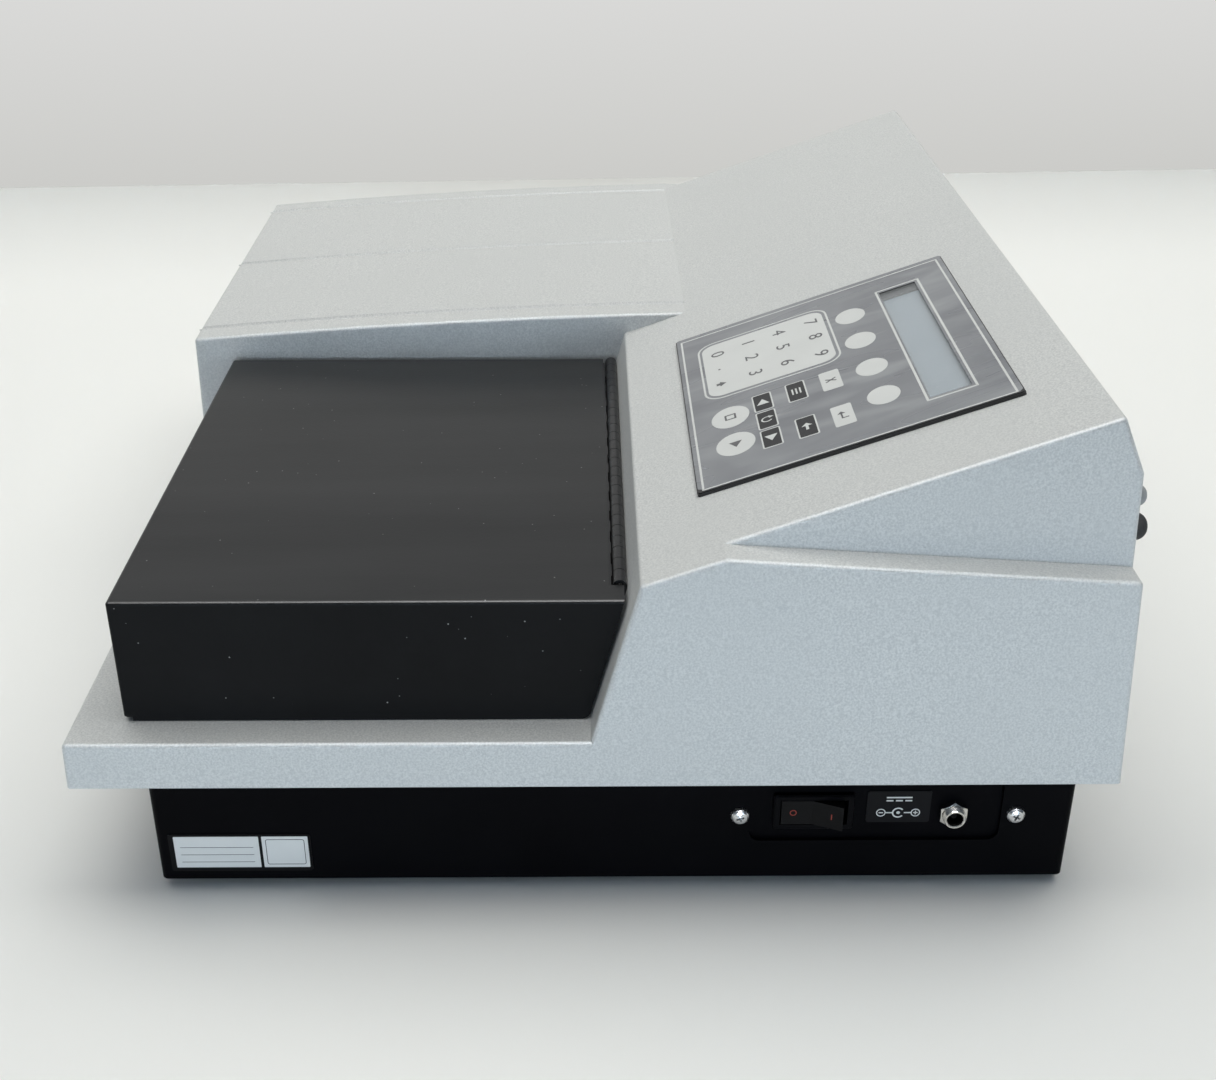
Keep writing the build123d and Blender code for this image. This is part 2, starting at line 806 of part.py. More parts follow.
with BuildPart() as panel_screws:
    with BuildSketch(Plane.YZ.offset(tray_side_x)):
        with Locations(*panel_screw_points):
            Circle(screw_head_diameter / 2)
    extrude(amount=screw_head_height)
    fillet(panel_screws.faces().group_by(Axis.X)[-1].edges(), screw_head_round)
    with BuildSketch(Plane.YZ.offset(tray_side_x - tray_sheet - panel_sheet - screw_end)):
        with Locations(*panel_screw_points):
            Circle(screw_diameter / 2)
    extrude(amount=tray_sheet + panel_sheet + screw_end)
panel_screws.part.label = "panel_screws"
export_step(panel_screws.part, "parts/panel_screws.step")

with BuildPart() as switch_body:
    with BuildSketch(Plane.YZ.offset(panel_face_x)):
        with Locations((switch_y, switch_z)):
            RectangleRounded(bezel_length, bezel_height, bezel_corner)
    extrude(amount=bezel_proud)
    chamfer(switch_body.faces().sort_by(Axis.X)[-1].edges(), bezel_bevel)
    with BuildSketch(Plane.YZ.offset(panel_face_x - switch_depth)):
        with Locations((switch_y, switch_z)):
            Rectangle(body_length, body_height)
    extrude(amount=switch_depth)
    # pocket that the rocker sits in
    with BuildSketch(Plane.YZ.offset(bezel_face_x - rocker_pocket_depth)):
        with Locations((switch_y, switch_z)):
            Rectangle(rocker_length + 2 * rocker_end_gap, rocker_height + 2 * slip_gap)
    extrude(amount=2 * rocker_pocket_depth, mode=Mode.SUBTRACT)
    # three blade terminals at the back
    with BuildSketch(Plane.YZ.offset(panel_face_x - switch_depth - terminal_length)):
        with Locations((switch_y, switch_z)):
            with GridLocations(terminal_pitch, 0, 3, 1):
                Rectangle(terminal_sheet, terminal_width)
    extrude(amount=terminal_length)
switch_body.part.label = "switch_body"
export_step(switch_body.part, "parts/switch_body.step")

# the rocker's face is a shallow V whose halves lie flush with the bezel in turn
rocker_pivot_x = bezel_face_x - rocker_pivot_depth
with BuildPart() as power_rocker:
    with BuildSketch(Plane.XY.offset(switch_z - rocker_height / 2)):
        with Locations(Location((rocker_pivot_x, switch_y, 0), (0, 0, -rocker_tilt))):
            with BuildLine(mode=Mode.PRIVATE) as rocker_line:
                Polyline(
                    (rocker_pivot_depth, 0),
                    (rocker_pivot_depth + rocker_rise, rocker_length / 2),
                    (0, rocker_length / 2),
                    (-rocker_pivot_depth, rocker_length / 4),
                    (-rocker_pivot_depth, -rocker_length / 4),
                    (0, -rocker_length / 2),
                    (rocker_pivot_depth + rocker_rise, -rocker_length / 2),
                    close=True,
                )
            add(make_face(rocker_line.edges(), mode=Mode.PRIVATE))
    extrude(amount=rocker_height)
power_rocker.part.label = "power_rocker"
export_step(power_rocker.part, "parts/power_rocker.step")

with BuildPart() as jack_body:
    with BuildSketch(Plane.YZ.offset(panel_face_x - panel_sheet - jack_body_depth)):
        with Locations((jack_y, jack_z)):
            Rectangle(jack_body_size, jack_body_size)
    extrude(amount=jack_body_depth)
    with BuildSketch(Plane.YZ.offset(panel_face_x - panel_sheet)):
        with Locations((jack_y, jack_z)):
            Circle(jack_barrel / 2)
    extrude(amount=panel_sheet + jack_reach)
    with BuildSketch(Plane.YZ.offset(panel_face_x + jack_reach)):
        with Locations((jack_y, jack_z)):
            Circle(jack_bore / 2)
    extrude(amount=-jack_bore_depth, mode=Mode.SUBTRACT)
    with BuildSketch(Plane.YZ.offset(panel_face_x + jack_reach - jack_bore_depth - jack_pin)):
        with Locations((jack_y, jack_z)):
            Circle(jack_pin / 2)
    extrude(amount=jack_bore_depth)
jack_body.part.label = "jack_body"
export_step(jack_body.part, "parts/jack_body.step")

with BuildPart() as jack_nut:
    with BuildSketch(Plane.YZ.offset(panel_face_x)):
        with Locations((jack_y, jack_z)):
            RegularPolygon(nut_across_flats / 2, 6, major_radius=False)
            Circle(jack_barrel / 2 + press_gap, mode=Mode.SUBTRACT)
    extrude(amount=nut_height)
jack_nut.part.label = "jack_nut"
export_step(jack_nut.part, "parts/jack_nut.step")

plate_centre_y = front_y + plate_front_d + plate_length / 2
with BuildPart() as rating_plate:
    with BuildSketch(Plane.YZ.offset(panel_face_x)):
        with Locations((plate_centre_y, plate_bottom_z + plate_height / 2)):
            RectangleRounded(plate_length, plate_height, plate_corner)
    extrude(amount=plate_thickness)
rating_plate.part.label = "rating_plate"
export_step(rating_plate.part, "parts/rating_plate.step")

label_centre_y = front_y + label_front_d + label_length / 2
with BuildPart() as data_label:
    with BuildSketch(Plane.YZ.offset(tray_side_x)):
        with Locations((label_centre_y, label_bottom_z + label_height / 2)):
            RectangleRounded(label_length, label_height, plate_corner)
    extrude(amount=plate_thickness)
data_label.part.label = "data_label"
export_step(data_label.part, "parts/data_label.step")

# ---- keypad and display ----
keypad_centre = (keypad_left + keypad_width / 2, keypad_start + keypad_height / 2)
window_place = (window_centre_x, window_centre_s)

with BuildPart() as keypad_backer:
    with BuildSketch(keypad_plane):
        with Locations(keypad_centre):
            RectangleRounded(keypad_width, keypad_height, keypad_corner)
        with Locations(window_place):
            Rectangle(
                window_width + 2 * window_lip,
                window_height + 2 * window_lip,
                mode=Mode.SUBTRACT,
            )
        with Locations((keypad_centre[0], keypad_start + tail_slot_s)):
            Rectangle(ribbon_width, tail_slot / 2, mode=Mode.SUBTRACT)
    extrude(amount=backer_thickness)
keypad_backer.part.label = "keypad_backer"
export_step(keypad_backer.part, "parts/keypad_backer.step")

with BuildPart() as keypad_overlay:
    with BuildSketch(keypad_plane.offset(backer_thickness)):
        with Locations(keypad_centre):
            RectangleRounded(
                keypad_width - 2 * overlay_margin, keypad_height - 2 * overlay_margin, keypad_corner
            )
        with Locations(window_place):
            Rectangle(window_width, window_height, mode=Mode.SUBTRACT)
    extrude(amount=overlay_thickness)
keypad_overlay.part.label = "keypad_overlay"
export_step(keypad_overlay.part, "parts/keypad_overlay.step")

with BuildPart() as display_window:
    with BuildSketch(keypad_plane):
        with Locations(window_place):
            Rectangle(
                window_width + 2 * window_lip - slip_gap, window_height + 2 * window_lip - slip_gap
            )
    extrude(amount=backer_thickness)
display_window.part.label = "display_window"
export_step(display_window.part, "parts/display_window.step")

# the display module hangs from the cover's four bosses, its frame up through the cover's opening
with BuildPart() as display_module:
    with BuildSketch(keypad_plane.offset(-module_board_top - module_board)):
        with Locations(window_place):
            Rectangle(module_width, module_height)
        with Locations(*module_points):
            Circle(screw_diameter / 2, mode=Mode.SUBTRACT)
    extrude(amount=module_board)
    with BuildSketch(keypad_plane.offset(-module_board_top)):
        with Locations(window_place):
            Rectangle(module_frame_width, module_frame_height)
    extrude(amount=module_frame_depth)
    with BuildSketch(keypad_plane.offset(-module_top)):
        with Locations((window_centre_x + view_offset, window_centre_s)):
            Rectangle(view_width, view_height)
    extrude(amount=-view_depth, mode=Mode.SUBTRACT)
display_module.part.label = "display_module"
export_step(display_module.part, "parts/display_module.step")

# ---- plate lid and piano hinge ----
lid_bottom_z = ledge_z + lid_gap
lid_width = lid_right_x - lid_left_x


def knuckle_starts(first):
    """Left ends of every second knuckle."""
    return [hinge_left_x + knuckle_pitch * i for i in range(first, knuckle_count, 2)]


def corner_waste(radius):
    """Material outside a rounded corner whose sides run towards +X and +Y."""
    Rectangle(radius, radius, align=(Align.MIN, Align.MIN))
    with Locations((radius, radius)):
        Circle(radius, mode=Mode.SUBTRACT)


with BuildPart() as lid_shell:
    with BuildSketch(Plane.YZ.offset(lid_left_x)):
        with BuildLine():
            Polyline(
                (front_y + lid_front_d, lid_bottom_z),
                (front_y + lid_front_d, lid_top_z),
                (front_y + lid_rear_top_d, lid_top_z),
                (front_y + lid_rear_bottom_d, lid_bottom_z),
                close=True,
            )
        make_face()
    extrude(amount=lid_width)
    offset(
        amount=-lid_sheet,
        openings=[lid_shell.faces().sort_by(Axis.Z)[0], lid_shell.faces().sort_by(Axis.Y)[-1]],
    )
    top_face = lid_shell.faces().sort_by(Axis.Z)[-1]
    front_face = lid_shell.faces().sort_by(Axis.Y)[0]
    fillet(
        top_face.edges().filter_by(lambda e: e.center().Y < front_y + lid_rear_bottom_d)
        + front_face.edges().filter_by(Axis.Z),
        lid_bend,
    )
    # rounded lower corners: the front ones seen from the side and from the front, then the rear ones
    with BuildSketch(Plane.YZ.offset(lid_left_x)):
        with Locations((front_y + lid_front_d, lid_bottom_z)):
            corner_waste(lid_corner)
    extrude(amount=lid_corner, mode=Mode.SUBTRACT)
    with BuildSketch(Plane.YZ.offset(lid_right_x - lid_corner)):
        with Locations((front_y + lid_front_d, lid_bottom_z)):
            corner_waste(lid_corner)
    extrude(amount=lid_corner, mode=Mode.SUBTRACT)
    with BuildSketch(Plane.XZ.offset(-front_y - lid_front_d)):
        with Locations(
            Location((lid_left_x, lid_bottom_z)), Location((lid_right_x, lid_bottom_z, 0), (0, 0, 90))
        ):
            corner_waste(lid_corner)
    extrude(amount=-lid_corner, mode=Mode.SUBTRACT)
    fillet(
        lid_shell.edges()
        .filter_by(Axis.X)
        .filter_by(lambda e: abs(e.center().Z - lid_bottom_z) < lid_gap)
        .group_by(Axis.Y)[-1],
        lid_corner,
    )
    # notch that the hinge barrel lies in
    with BuildSketch(Plane.YZ.offset(lid_left_x - 1)):
        with Locations((front_y + notch_edge_d, lid_top_z + 1)):
            Rectangle(
                lid_rear_top_d - notch_edge_d + 1,
                notch_depth + 1,
                align=(Align.MIN, Align.MAX),
            )
    extrude(amount=notch_right_x - lid_left_x + 1, mode=Mode.SUBTRACT)
lid_shell.part.label = "lid_shell"
export_step(lid_shell.part, "parts/lid_shell.step")

with BuildPart() as hinge_fixed_leaf:
    with BuildSketch(face_plane):
        with Locations((hinge_left_x, hinge_on_face.Y)):
            Rectangle(hinge_right_x - hinge_left_x, leaf_reach, align=(Align.MIN, Align.MAX))
        with Locations(*hinge_screw_points):
            Circle(hinge_screw_diameter / 2 + press_gap, mode=Mode.SUBTRACT)
    extrude(amount=leaf_thickness)
    for start in knuckle_starts(1):
        with BuildSketch(Plane.YZ.offset(start)):
            with Locations((hinge_y, hinge_axis_z)):
                Circle(knuckle_radius + knuckle_gap)
        extrude(amount=knuckle_pitch, mode=Mode.SUBTRACT)
    for start in knuckle_starts(0):
        with BuildSketch(Plane.YZ.offset(start + knuckle_gap / 2)):
            with Locations((hinge_y, hinge_axis_z)):
                Circle(knuckle_radius)
        extrude(amount=knuckle_pitch - knuckle_gap)
    with BuildSketch(Plane.YZ.offset(hinge_left_x - 1)):
        with Locations((hinge_y, hinge_axis_z)):
            Circle(hinge_pin_radius + press_gap)
    extrude(amount=hinge_right_x - hinge_left_x + 2, mode=Mode.SUBTRACT)
hinge_fixed_leaf.part.label = "hinge_fixed_leaf"
export_step(hinge_fixed_leaf.part, "parts/hinge_fixed_leaf.step")

with BuildPart() as hinge_moving_leaf:
    with BuildSketch(Plane.XY.offset(lid_top_z - lid_sheet - leaf_thickness)):
        with Locations((hinge_left_x, hinge_y)):
            Rectangle(hinge_right_x - hinge_left_x, leaf_reach, align=(Align.MIN, Align.MAX))
    extrude(amount=leaf_thickness)
    for start in knuckle_starts(0):
        with BuildSketch(Plane.YZ.offset(start)):
            with Locations((hinge_y, hinge_axis_z)):
                Circle(knuckle_radius + knuckle_gap)
        extrude(amount=knuckle_pitch, mode=Mode.SUBTRACT)
    for start in knuckle_starts(1):
        with BuildSketch(Plane.YZ.offset(start + knuckle_gap / 2)):
            with Locations((hinge_y, hinge_axis_z)):
                Circle(knuckle_radius)
        extrude(amount=knuckle_pitch - knuckle_gap)
    with BuildSketch(Plane.YZ.offset(hinge_left_x - 1)):
        with Locations((hinge_y, hinge_axis_z)):
            Circle(hinge_pin_radius + running_gap)
    extrude(amount=hinge_right_x - hinge_left_x + 2, mode=Mode.SUBTRACT)
hinge_moving_leaf.part.label = "hinge_moving_leaf"
export_step(hinge_moving_leaf.part, "parts/hinge_moving_leaf.step")

with BuildPart() as hinge_pin:
    with BuildSketch(Plane.YZ.offset(hinge_left_x)):
        with Locations((hinge_y, hinge_axis_z)):
            Circle(hinge_pin_radius)
    extrude(amount=hinge_right_x - hinge_left_x)
hinge_pin.part.label = "hinge_pin"
export_step(hinge_pin.part, "parts/hinge_pin.step")

with BuildPart() as hinge_screws:
    with BuildSketch(face_plane.offset(leaf_thickness)):
        with Locations(*hinge_screw_points):
            Circle(hinge_head_diameter / 2)
    extrude(amount=hinge_head_height)
    with BuildSketch(face_plane.offset(-cover_wall - 1)):
        with Locations(*hinge_screw_points):
            Circle(hinge_screw_diameter / 2)
    extrude(amount=cover_wall + 1 + leaf_thickness)
hinge_screws.part.label = "hinge_screws"
export_step(hinge_screws.part, "parts/hinge_screws.step")

# ---- guide rods, belt drive and plate carrier ----
rod_length = rod_right_x - rod_left_x
for name, rod_y in (("guide_rod_front", rod_front_y), ("guide_rod_rear", rod_rear_y)):
    with BuildPart() as guide_rod:
        with BuildSketch(Plane.YZ.offset(rod_left_x)):
            with Locations((rod_y, rod_z)):
                Circle(rod_diameter / 2)
        extrude(amount=rod_length)
        chamfer(guide_rod.edges().filter_by(GeomType.CIRCLE), rod_bevel)
    guide_rod.part.label = name
    export_step(guide_rod.part, f"parts/{name}.step")

bracket_length = rod_spacing + 2 * bracket_end
for name, start_x, foot_side in (
    ("rod_bracket_left", rod_left_x, 1),
    ("rod_bracket_right", rod_right_x - bracket_thickness, -1),
):
    with BuildPart() as rod_bracket:
        with BuildSketch(Plane.YZ.offset(start_x)):
            with Locations((carrier_y, tray_floor_z)):
                Rectangle(
                    bracket_length, bracket_top_z - tray_floor_z, align=(Align.CENTER, Align.MIN)
                )
            with Locations((rod_front_y, rod_z), (rod_rear_y, rod_z)):
                Circle(rod_diameter / 2 + press_gap, mode=Mode.SUBTRACT)
            with Locations((carrier_y, bracket_top_z)):
                RectangleRounded(
                    rod_spacing - 3 * rod_diameter,
                    2 * (bracket_top_z - rod_z),
                    rod_diameter / 2,
                    mode=Mode.SUBTRACT,
                )
        extrude(amount=bracket_thickness)
        foot_x = start_x + bracket_thickness / 2 + foot_side * bracket_thickness
        with BuildSketch(Plane.XY.offset(tray_floor_z)):
            with Locations((foot_x, carrier_y)):
                Rectangle(bracket_thickness, bracket_length)
        extrude(amount=bracket_thickness)
    rod_bracket.part.label = name
    export_step(rod_bracket.part, f"parts/{name}.step")

carrier_floor_z = carrier_bottom_z + carrier_floor
lug_points = [
    (carrier_rest_x + x, y)
    for x in (bushing_inset - carrier_length / 2, carrier_length / 2 - bushing_inset)
    for y in (rod_front_y, rod_rear_y)
]
clip_pivot = (
    carrier_rest_x - plate_slot_length / 2 - clip_gap,
    carrier_y - plate_slot_width / 2 + clip_arm,
)

with BuildPart() as carrier_tray:
    with BuildSketch(Plane.XY.offset(carrier_bottom_z)):
        with Locations((carrier_rest_x, carrier_y)):
            RectangleRounded(carrier_length, carrier_width, carrier_corner)
    extrude(amount=carrier_rim_z - carrier_bottom_z)
    with BuildSketch(Plane.XY.offset(carrier_floor_z)):
        with Locations((carrier_rest_x, carrier_y)):
            RectangleRounded(plate_slot_length, plate_slot_width, plate_slot_corner)
    extrude(amount=carrier_rim_z - carrier_floor_z, mode=Mode.SUBTRACT)
    chamfer(
        carrier_tray.faces().sort_by(Axis.Z)[-1].inner_wires().edges().filter_by(GeomType.LINE),
        rim_bevel,
    )
    with BuildSketch(Plane.XY.offset(carrier_bottom_z)):
        with Locations((carrier_rest_x, carrier_y)):
            RectangleRounded(light_window_length, light_window_width, light_window_corner)
    extrude(amount=carrier_floor, mode=Mode.SUBTRACT)
    # finger notches through the front and rear rims
    with BuildSketch(Plane.XY.offset(carrier_floor_z + carrier_floor)):
        with Locations((carrier_rest_x, carrier_y)):
            RectangleRounded(finger_notch, carrier_width + 2 * carrier_floor, rim_bevel)
    extrude(amount=carrier_rim_z - carrier_floor_z, mode=Mode.SUBTRACT)
    # bearing lugs under the rails
    for lug_x, lug_y in lug_points:
        with BuildSketch(Plane.YZ.offset(lug_x - bushing_length / 2)):
            with Locations((lug_y, carrier_bottom_z)):
                Rectangle(
                    lug_width, carrier_bottom_z - lug_bottom_z, align=(Align.CENTER, Align.MAX)
                )
        extrude(amount=bushing_length)
        with BuildSketch(Plane.YZ.offset(lug_x - bushing_length / 2)):
            with Locations((lug_y, rod_z)):
                Circle(bushing_diameter / 2 + press_gap)
        extrude(amount=bushing_length, mode=Mode.SUBTRACT)
    # pivot pin of the plate clip
    with BuildSketch(Plane.XY.offset(carrier_rim_z)):
        with Locations(clip_pivot):
            Circle(clip_pin_diameter / 2)
    extrude(amount=clip_thickness + 2 * slip_gap)
carrier_tray.part.label = "carrier_tray"
export_step(carrier_tray.part, "parts/carrier_tray.step")

with BuildPart() as carrier_bushings:
    for lug_x, lug_y in lug_points:
        with BuildSketch(Plane.YZ.offset(lug_x - bushing_length / 2)):
            with Locations((lug_y, rod_z)):
                Circle(bushing_diameter / 2)
                Circle(rod_diameter / 2 + running_gap, mode=Mode.SUBTRACT)
        extrude(amount=bushing_length)
carrier_bushings.part.label = "carrier_bushings"
export_step(carrier_bushings.part, "parts/carrier_bushings.step")

belt_inner_radius = pulley_radius + running_gap
belt_centre_x = (drive_pulley_x + idler_pulley_x) / 2
belt_span = idler_pulley_x - drive_pulley_x
belt_plane = Plane.XZ.offset(-belt_y - belt_width / 2)
with BuildPart() as drive_belt:
    with BuildSketch(belt_plane):
        with Locations((belt_centre_x, rod_z)):
            SlotCenterToCenter(belt_span, 2 * (belt_inner_radius + belt_thickness))
            SlotCenterToCenter(belt_span, 2 * belt_inner_radius, mode=Mode.SUBTRACT)
    extrude(amount=belt_width)
drive_belt.part.label = "drive_belt"
export_step(drive_belt.part, "parts/drive_belt.step")

# the clamp grips the belt's upper run and hangs from the carrier's rear edge
belt_top_z = rod_z + belt_inner_radius + belt_thickness
clamp_reach_y = belt_y + belt_width / 2 + slip_gap
with BuildPart() as belt_clamp:
    with BuildSketch(Plane.YZ.offset(carrier_rest_x - clamp_length / 2)):
        with BuildLine():
            Polyline(
                (carrier_y + carrier_width / 2, carrier_bottom_z + carrier_floor * 2),
                (carrier_y + carrier_width / 2, carrier_bottom_z),
                (belt_y - belt_width / 2 - clamp_back, carrier_bottom_z),
                (belt_y - belt_width / 2 - clamp_back, belt_top_z - 2 * belt_thickness - clamp_jaw),
                (clamp_reach_y, belt_top_z - 2 * belt_thickness - clamp_jaw),
                (clamp_reach_y, belt_top_z - belt_thickness - slip_gap),
                (belt_y - belt_width / 2 - slip_gap, belt_top_z - belt_thickness - slip_gap),
                (belt_y - belt_width / 2 - slip_gap, belt_top_z + slip_gap),
                (clamp_reach_y, belt_top_z + slip_gap),
                (clamp_reach_y, carrier_bottom_z + carrier_floor * 2),
                close=True,
            )
        make_face()
    extrude(amount=clamp_length)
belt_clamp.part.label = "belt_clamp"
export_step(belt_clamp.part, "parts/belt_clamp.step")

with BuildPart() as plate_clip:
    with BuildSketch(Plane.XY.offset(carrier_rim_z + slip_gap)):
        with Locations(clip_pivot):
            Circle(clip_pin_diameter)
        with BuildLine():
            Polyline(
                (clip_pivot[0] - clip_pin_diameter, clip_pivot[1]),
                (clip_pivot[0] - clip_pin_diameter, clip_pivot[1] - clip_arm + clip_taper),
                (clip_pivot[0] + clip_pin_diameter, clip_pivot[1] - clip_arm),
                (clip_pivot[0] + clip_pin_diameter, clip_pivot[1]),
                close=True,
            )
        make_face()
        with Locations(clip_pivot):
            Circle(clip_pin_diameter / 2 + running_gap, mode=Mode.SUBTRACT)
    extrude(amount=clip_thickness)
plate_clip.part.label = "plate_clip"
export_step(plate_clip.part, "parts/plate_clip.step")

motor_face_y = front_y + motor_plate_d + bracket_sheet
with BuildPart() as motor_bracket:
    with BuildSketch(Plane.XZ.offset(-motor_face_y)):
        with Locations((drive_pulley_x, tray_floor_z)):
            Rectangle(
                motor_size + 2 * motor_bracket_margin,
                rod_z + motor_size / 2 - tray_floor_z,
                align=(Align.CENTER, Align.MIN),
            )
        with Locations((drive_pulley_x, rod_z)):
            Circle(motor_boss / 2 + slip_gap, mode=Mode.SUBTRACT)
    extrude(amount=bracket_sheet)
    with BuildSketch(Plane.XY.offset(tray_floor_z)):
        with Locations((drive_pulley_x, motor_face_y)):
            Rectangle(
                motor_size + 2 * motor_bracket_margin,
                motor_length,
                align=(Align.CENTER, Align.MIN),
            )
    extrude(amount=bracket_sheet)
motor_bracket.part.label = "motor_bracket"
export_step(motor_bracket.part, "parts/motor_bracket.step")

with BuildPart() as carrier_motor:
    with BuildSketch(Plane.XZ.offset(-motor_face_y)):
        with Locations((drive_pulley_x, rod_z)):
            Rectangle(motor_size, motor_size)
    extrude(amount=-motor_length)
    chamfer(carrier_motor.edges().filter_by(Axis.Y), motor_corner)
    with BuildSketch(Plane.XZ.offset(-motor_face_y)):
        with Locations((drive_pulley_x, rod_z)):
            Circle(motor_boss / 2)
    extrude(amount=bracket_sheet / 2)
    with BuildSketch(Plane.XZ.offset(-motor_face_y + bracket_sheet)):
        with Locations((drive_pulley_x, rod_z)):
            Circle(motor_shaft / 2 + running_gap)
    extrude(amount=-motor_length, mode=Mode.SUBTRACT)
carrier_motor.part.label = "carrier_motor"
export_step(carrier_motor.part, "parts/carrier_motor.step")


def pulley_profile(pulley_x, bore_radius):
    """Half section of a flanged belt pulley, to be turned about its own axis along Y."""
    inner = pulley_x + bore_radius
    low_y = belt_y - belt_width / 2 - slip_gap
    high_y = belt_y + belt_width / 2 + slip_gap
    rim = pulley_x + pulley_radius
    flange = pulley_x + pulley_flange_radius
    Polyline(
        (inner, low_y - pulley_flange),
        (flange, low_y - pulley_flange),
        (flange, low_y),
        (rim, low_y),
        (rim, high_y),
        (flange, high_y),
        (flange, high_y + pulley_flange),
        (inner, high_y + pulley_flange),
        close=True,
    )


with BuildPart() as drive_pulley:
    with BuildSketch(Plane.XY.offset(rod_z)):
        with BuildLine():
            pulley_profile(drive_pulley_x, 0)
        make_face()
    revolve(axis=Axis((drive_pulley_x, 0, rod_z), (0, 1, 0)))
    with BuildSketch(Plane.XZ.offset(-motor_face_y - motor_length / 2)):
        with Locations((drive_pulley_x, rod_z)):
            Circle(motor_shaft / 2)
    extrude(amount=motor_face_y + motor_length / 2 - belt_y)
drive_pulley.part.label = "drive_pulley"
export_step(drive_pulley.part, "parts/drive_pulley.step")

with BuildPart() as idler_pulley:
    with BuildSketch(Plane.XY.offset(rod_z)):
        with BuildLine():
            pulley_profile(idler_pulley_x, idler_axle / 2 + running_gap)
        make_face()
    revolve(axis=Axis((idler_pulley_x, 0, rod_z), (0, 1, 0)))
idler_pulley.part.label = "idler_pulley"
export_step(idler_pulley.part, "parts/idler_pulley.step")

with BuildPart() as idler_bracket:
    with BuildSketch(Plane.XZ.offset(-motor_face_y)):
        with Locations((idler_pulley_x, tray_floor_z)):
            Rectangle(
                idler_bracket_width,
                rod_z + idler_bracket_rise - tray_floor_z,
                align=(Align.CENTER, Align.MIN),
            )
    extrude(amount=bracket_sheet)
    fillet(idler_bracket.edges().filter_by(Axis.Y).group_by(Axis.Z)[-1], idler_corner)
    with BuildSketch(Plane.XY.offset(tray_floor_z)):
        with Locations((idler_pulley_x, motor_face_y)):
            Rectangle(idler_bracket_width, idler_foot, align=(Align.CENTER, Align.MIN))
    extrude(amount=bracket_sheet)
    idler_plate_y = motor_face_y - bracket_sheet
    pulley_rear_y = belt_y + belt_width / 2 + slip_gap + pulley_flange
    pulley_front_y = belt_y - belt_width / 2 - slip_gap - pulley_flange
    with BuildSketch(Plane.XZ.offset(-idler_plate_y)):
        with Locations((idler_pulley_x, rod_z)):
            Circle(idler_axle)
    extrude(amount=idler_plate_y - pulley_rear_y - slip_gap)
    with BuildSketch(Plane.XZ.offset(-idler_plate_y)):
        with Locations((idler_pulley_x, rod_z)):
            Circle(idler_axle / 2)
    extrude(amount=idler_plate_y - pulley_front_y + slip_gap)
idler_bracket.part.label = "idler_bracket"
export_step(idler_bracket.part, "parts/idler_bracket.step")

# ---- optics: bridge over the plate's path, lenses and detectors, filter wheel and lamp ----
bridge_length = bridge_right_x - bridge_left_x
bridge_front_y = front_y + bridge_front_d
bridge_rear_y = front_y + bridge_rear_d
bridge_top_z = bridge_deck_z + bracket_sheet
channel_points = [
    (optics_x, carrier_y + channel_pitch * (i - (channel_count - 1) / 2))
    for i in range(channel_count)
]

with BuildPart() as optics_bridge:
    with BuildSketch(Plane.YZ.offset(bridge_left_x)):
        with BuildLine():
            Polyline(
                (bridge_front_y - bridge_foot, tray_floor_z),
                (bridge_front_y + bracket_sheet, tray_floor_z),
                (bridge_front_y + bracket_sheet, bridge_deck_z),
                (bridge_rear_y - bracket_sheet, bridge_deck_z),
                (bridge_rear_y - bracket_sheet, tray_floor_z),
                (bridge_rear_y + bridge_foot, tray_floor_z),
                (bridge_rear_y + bridge_foot, tray_floor_z + bracket_sheet),
                (bridge_rear_y, tray_floor_z + bracket_sheet),
                (bridge_rear_y, bridge_top_z),
                (bridge_front_y, bridge_top_z),
                (bridge_front_y, tray_floor_z + bracket_sheet),
                (bridge_front_y - bridge_foot, tray_floor_z + bracket_sheet),
                close=True,
            )
        make_face()
    extrude(amount=bridge_length)
    with BuildSketch(Plane.XY.offset(bridge_deck_z)):
        with Locations((optics_x, carrier_y)):
            Rectangle(lens_block_width + 2 * press_gap, lens_block_length + 2 * press_gap)
    extrude(amount=bracket_sheet, mode=Mode.SUBTRACT)
    # lightening windows in the two legs
    with BuildSketch(Plane.XZ.offset(-bridge_rear_y - bracket_sheet)):
        with Locations(((bridge_left_x + bridge_right_x) / 2, bridge_deck_z / 2 + bridge_foot / 2)):
            RectangleRounded(
                bridge_length - 4 * bridge_foot, bridge_deck_z - 3 * bridge_foot, bridge_corner
            )
    extrude(amount=bridge_rear_y - bridge_front_y + 2 * bracket_sheet, mode=Mode.SUBTRACT)
optics_bridge.part.label = "optics_bridge"
export_step(optics_bridge.part, "parts/optics_bridge.step")

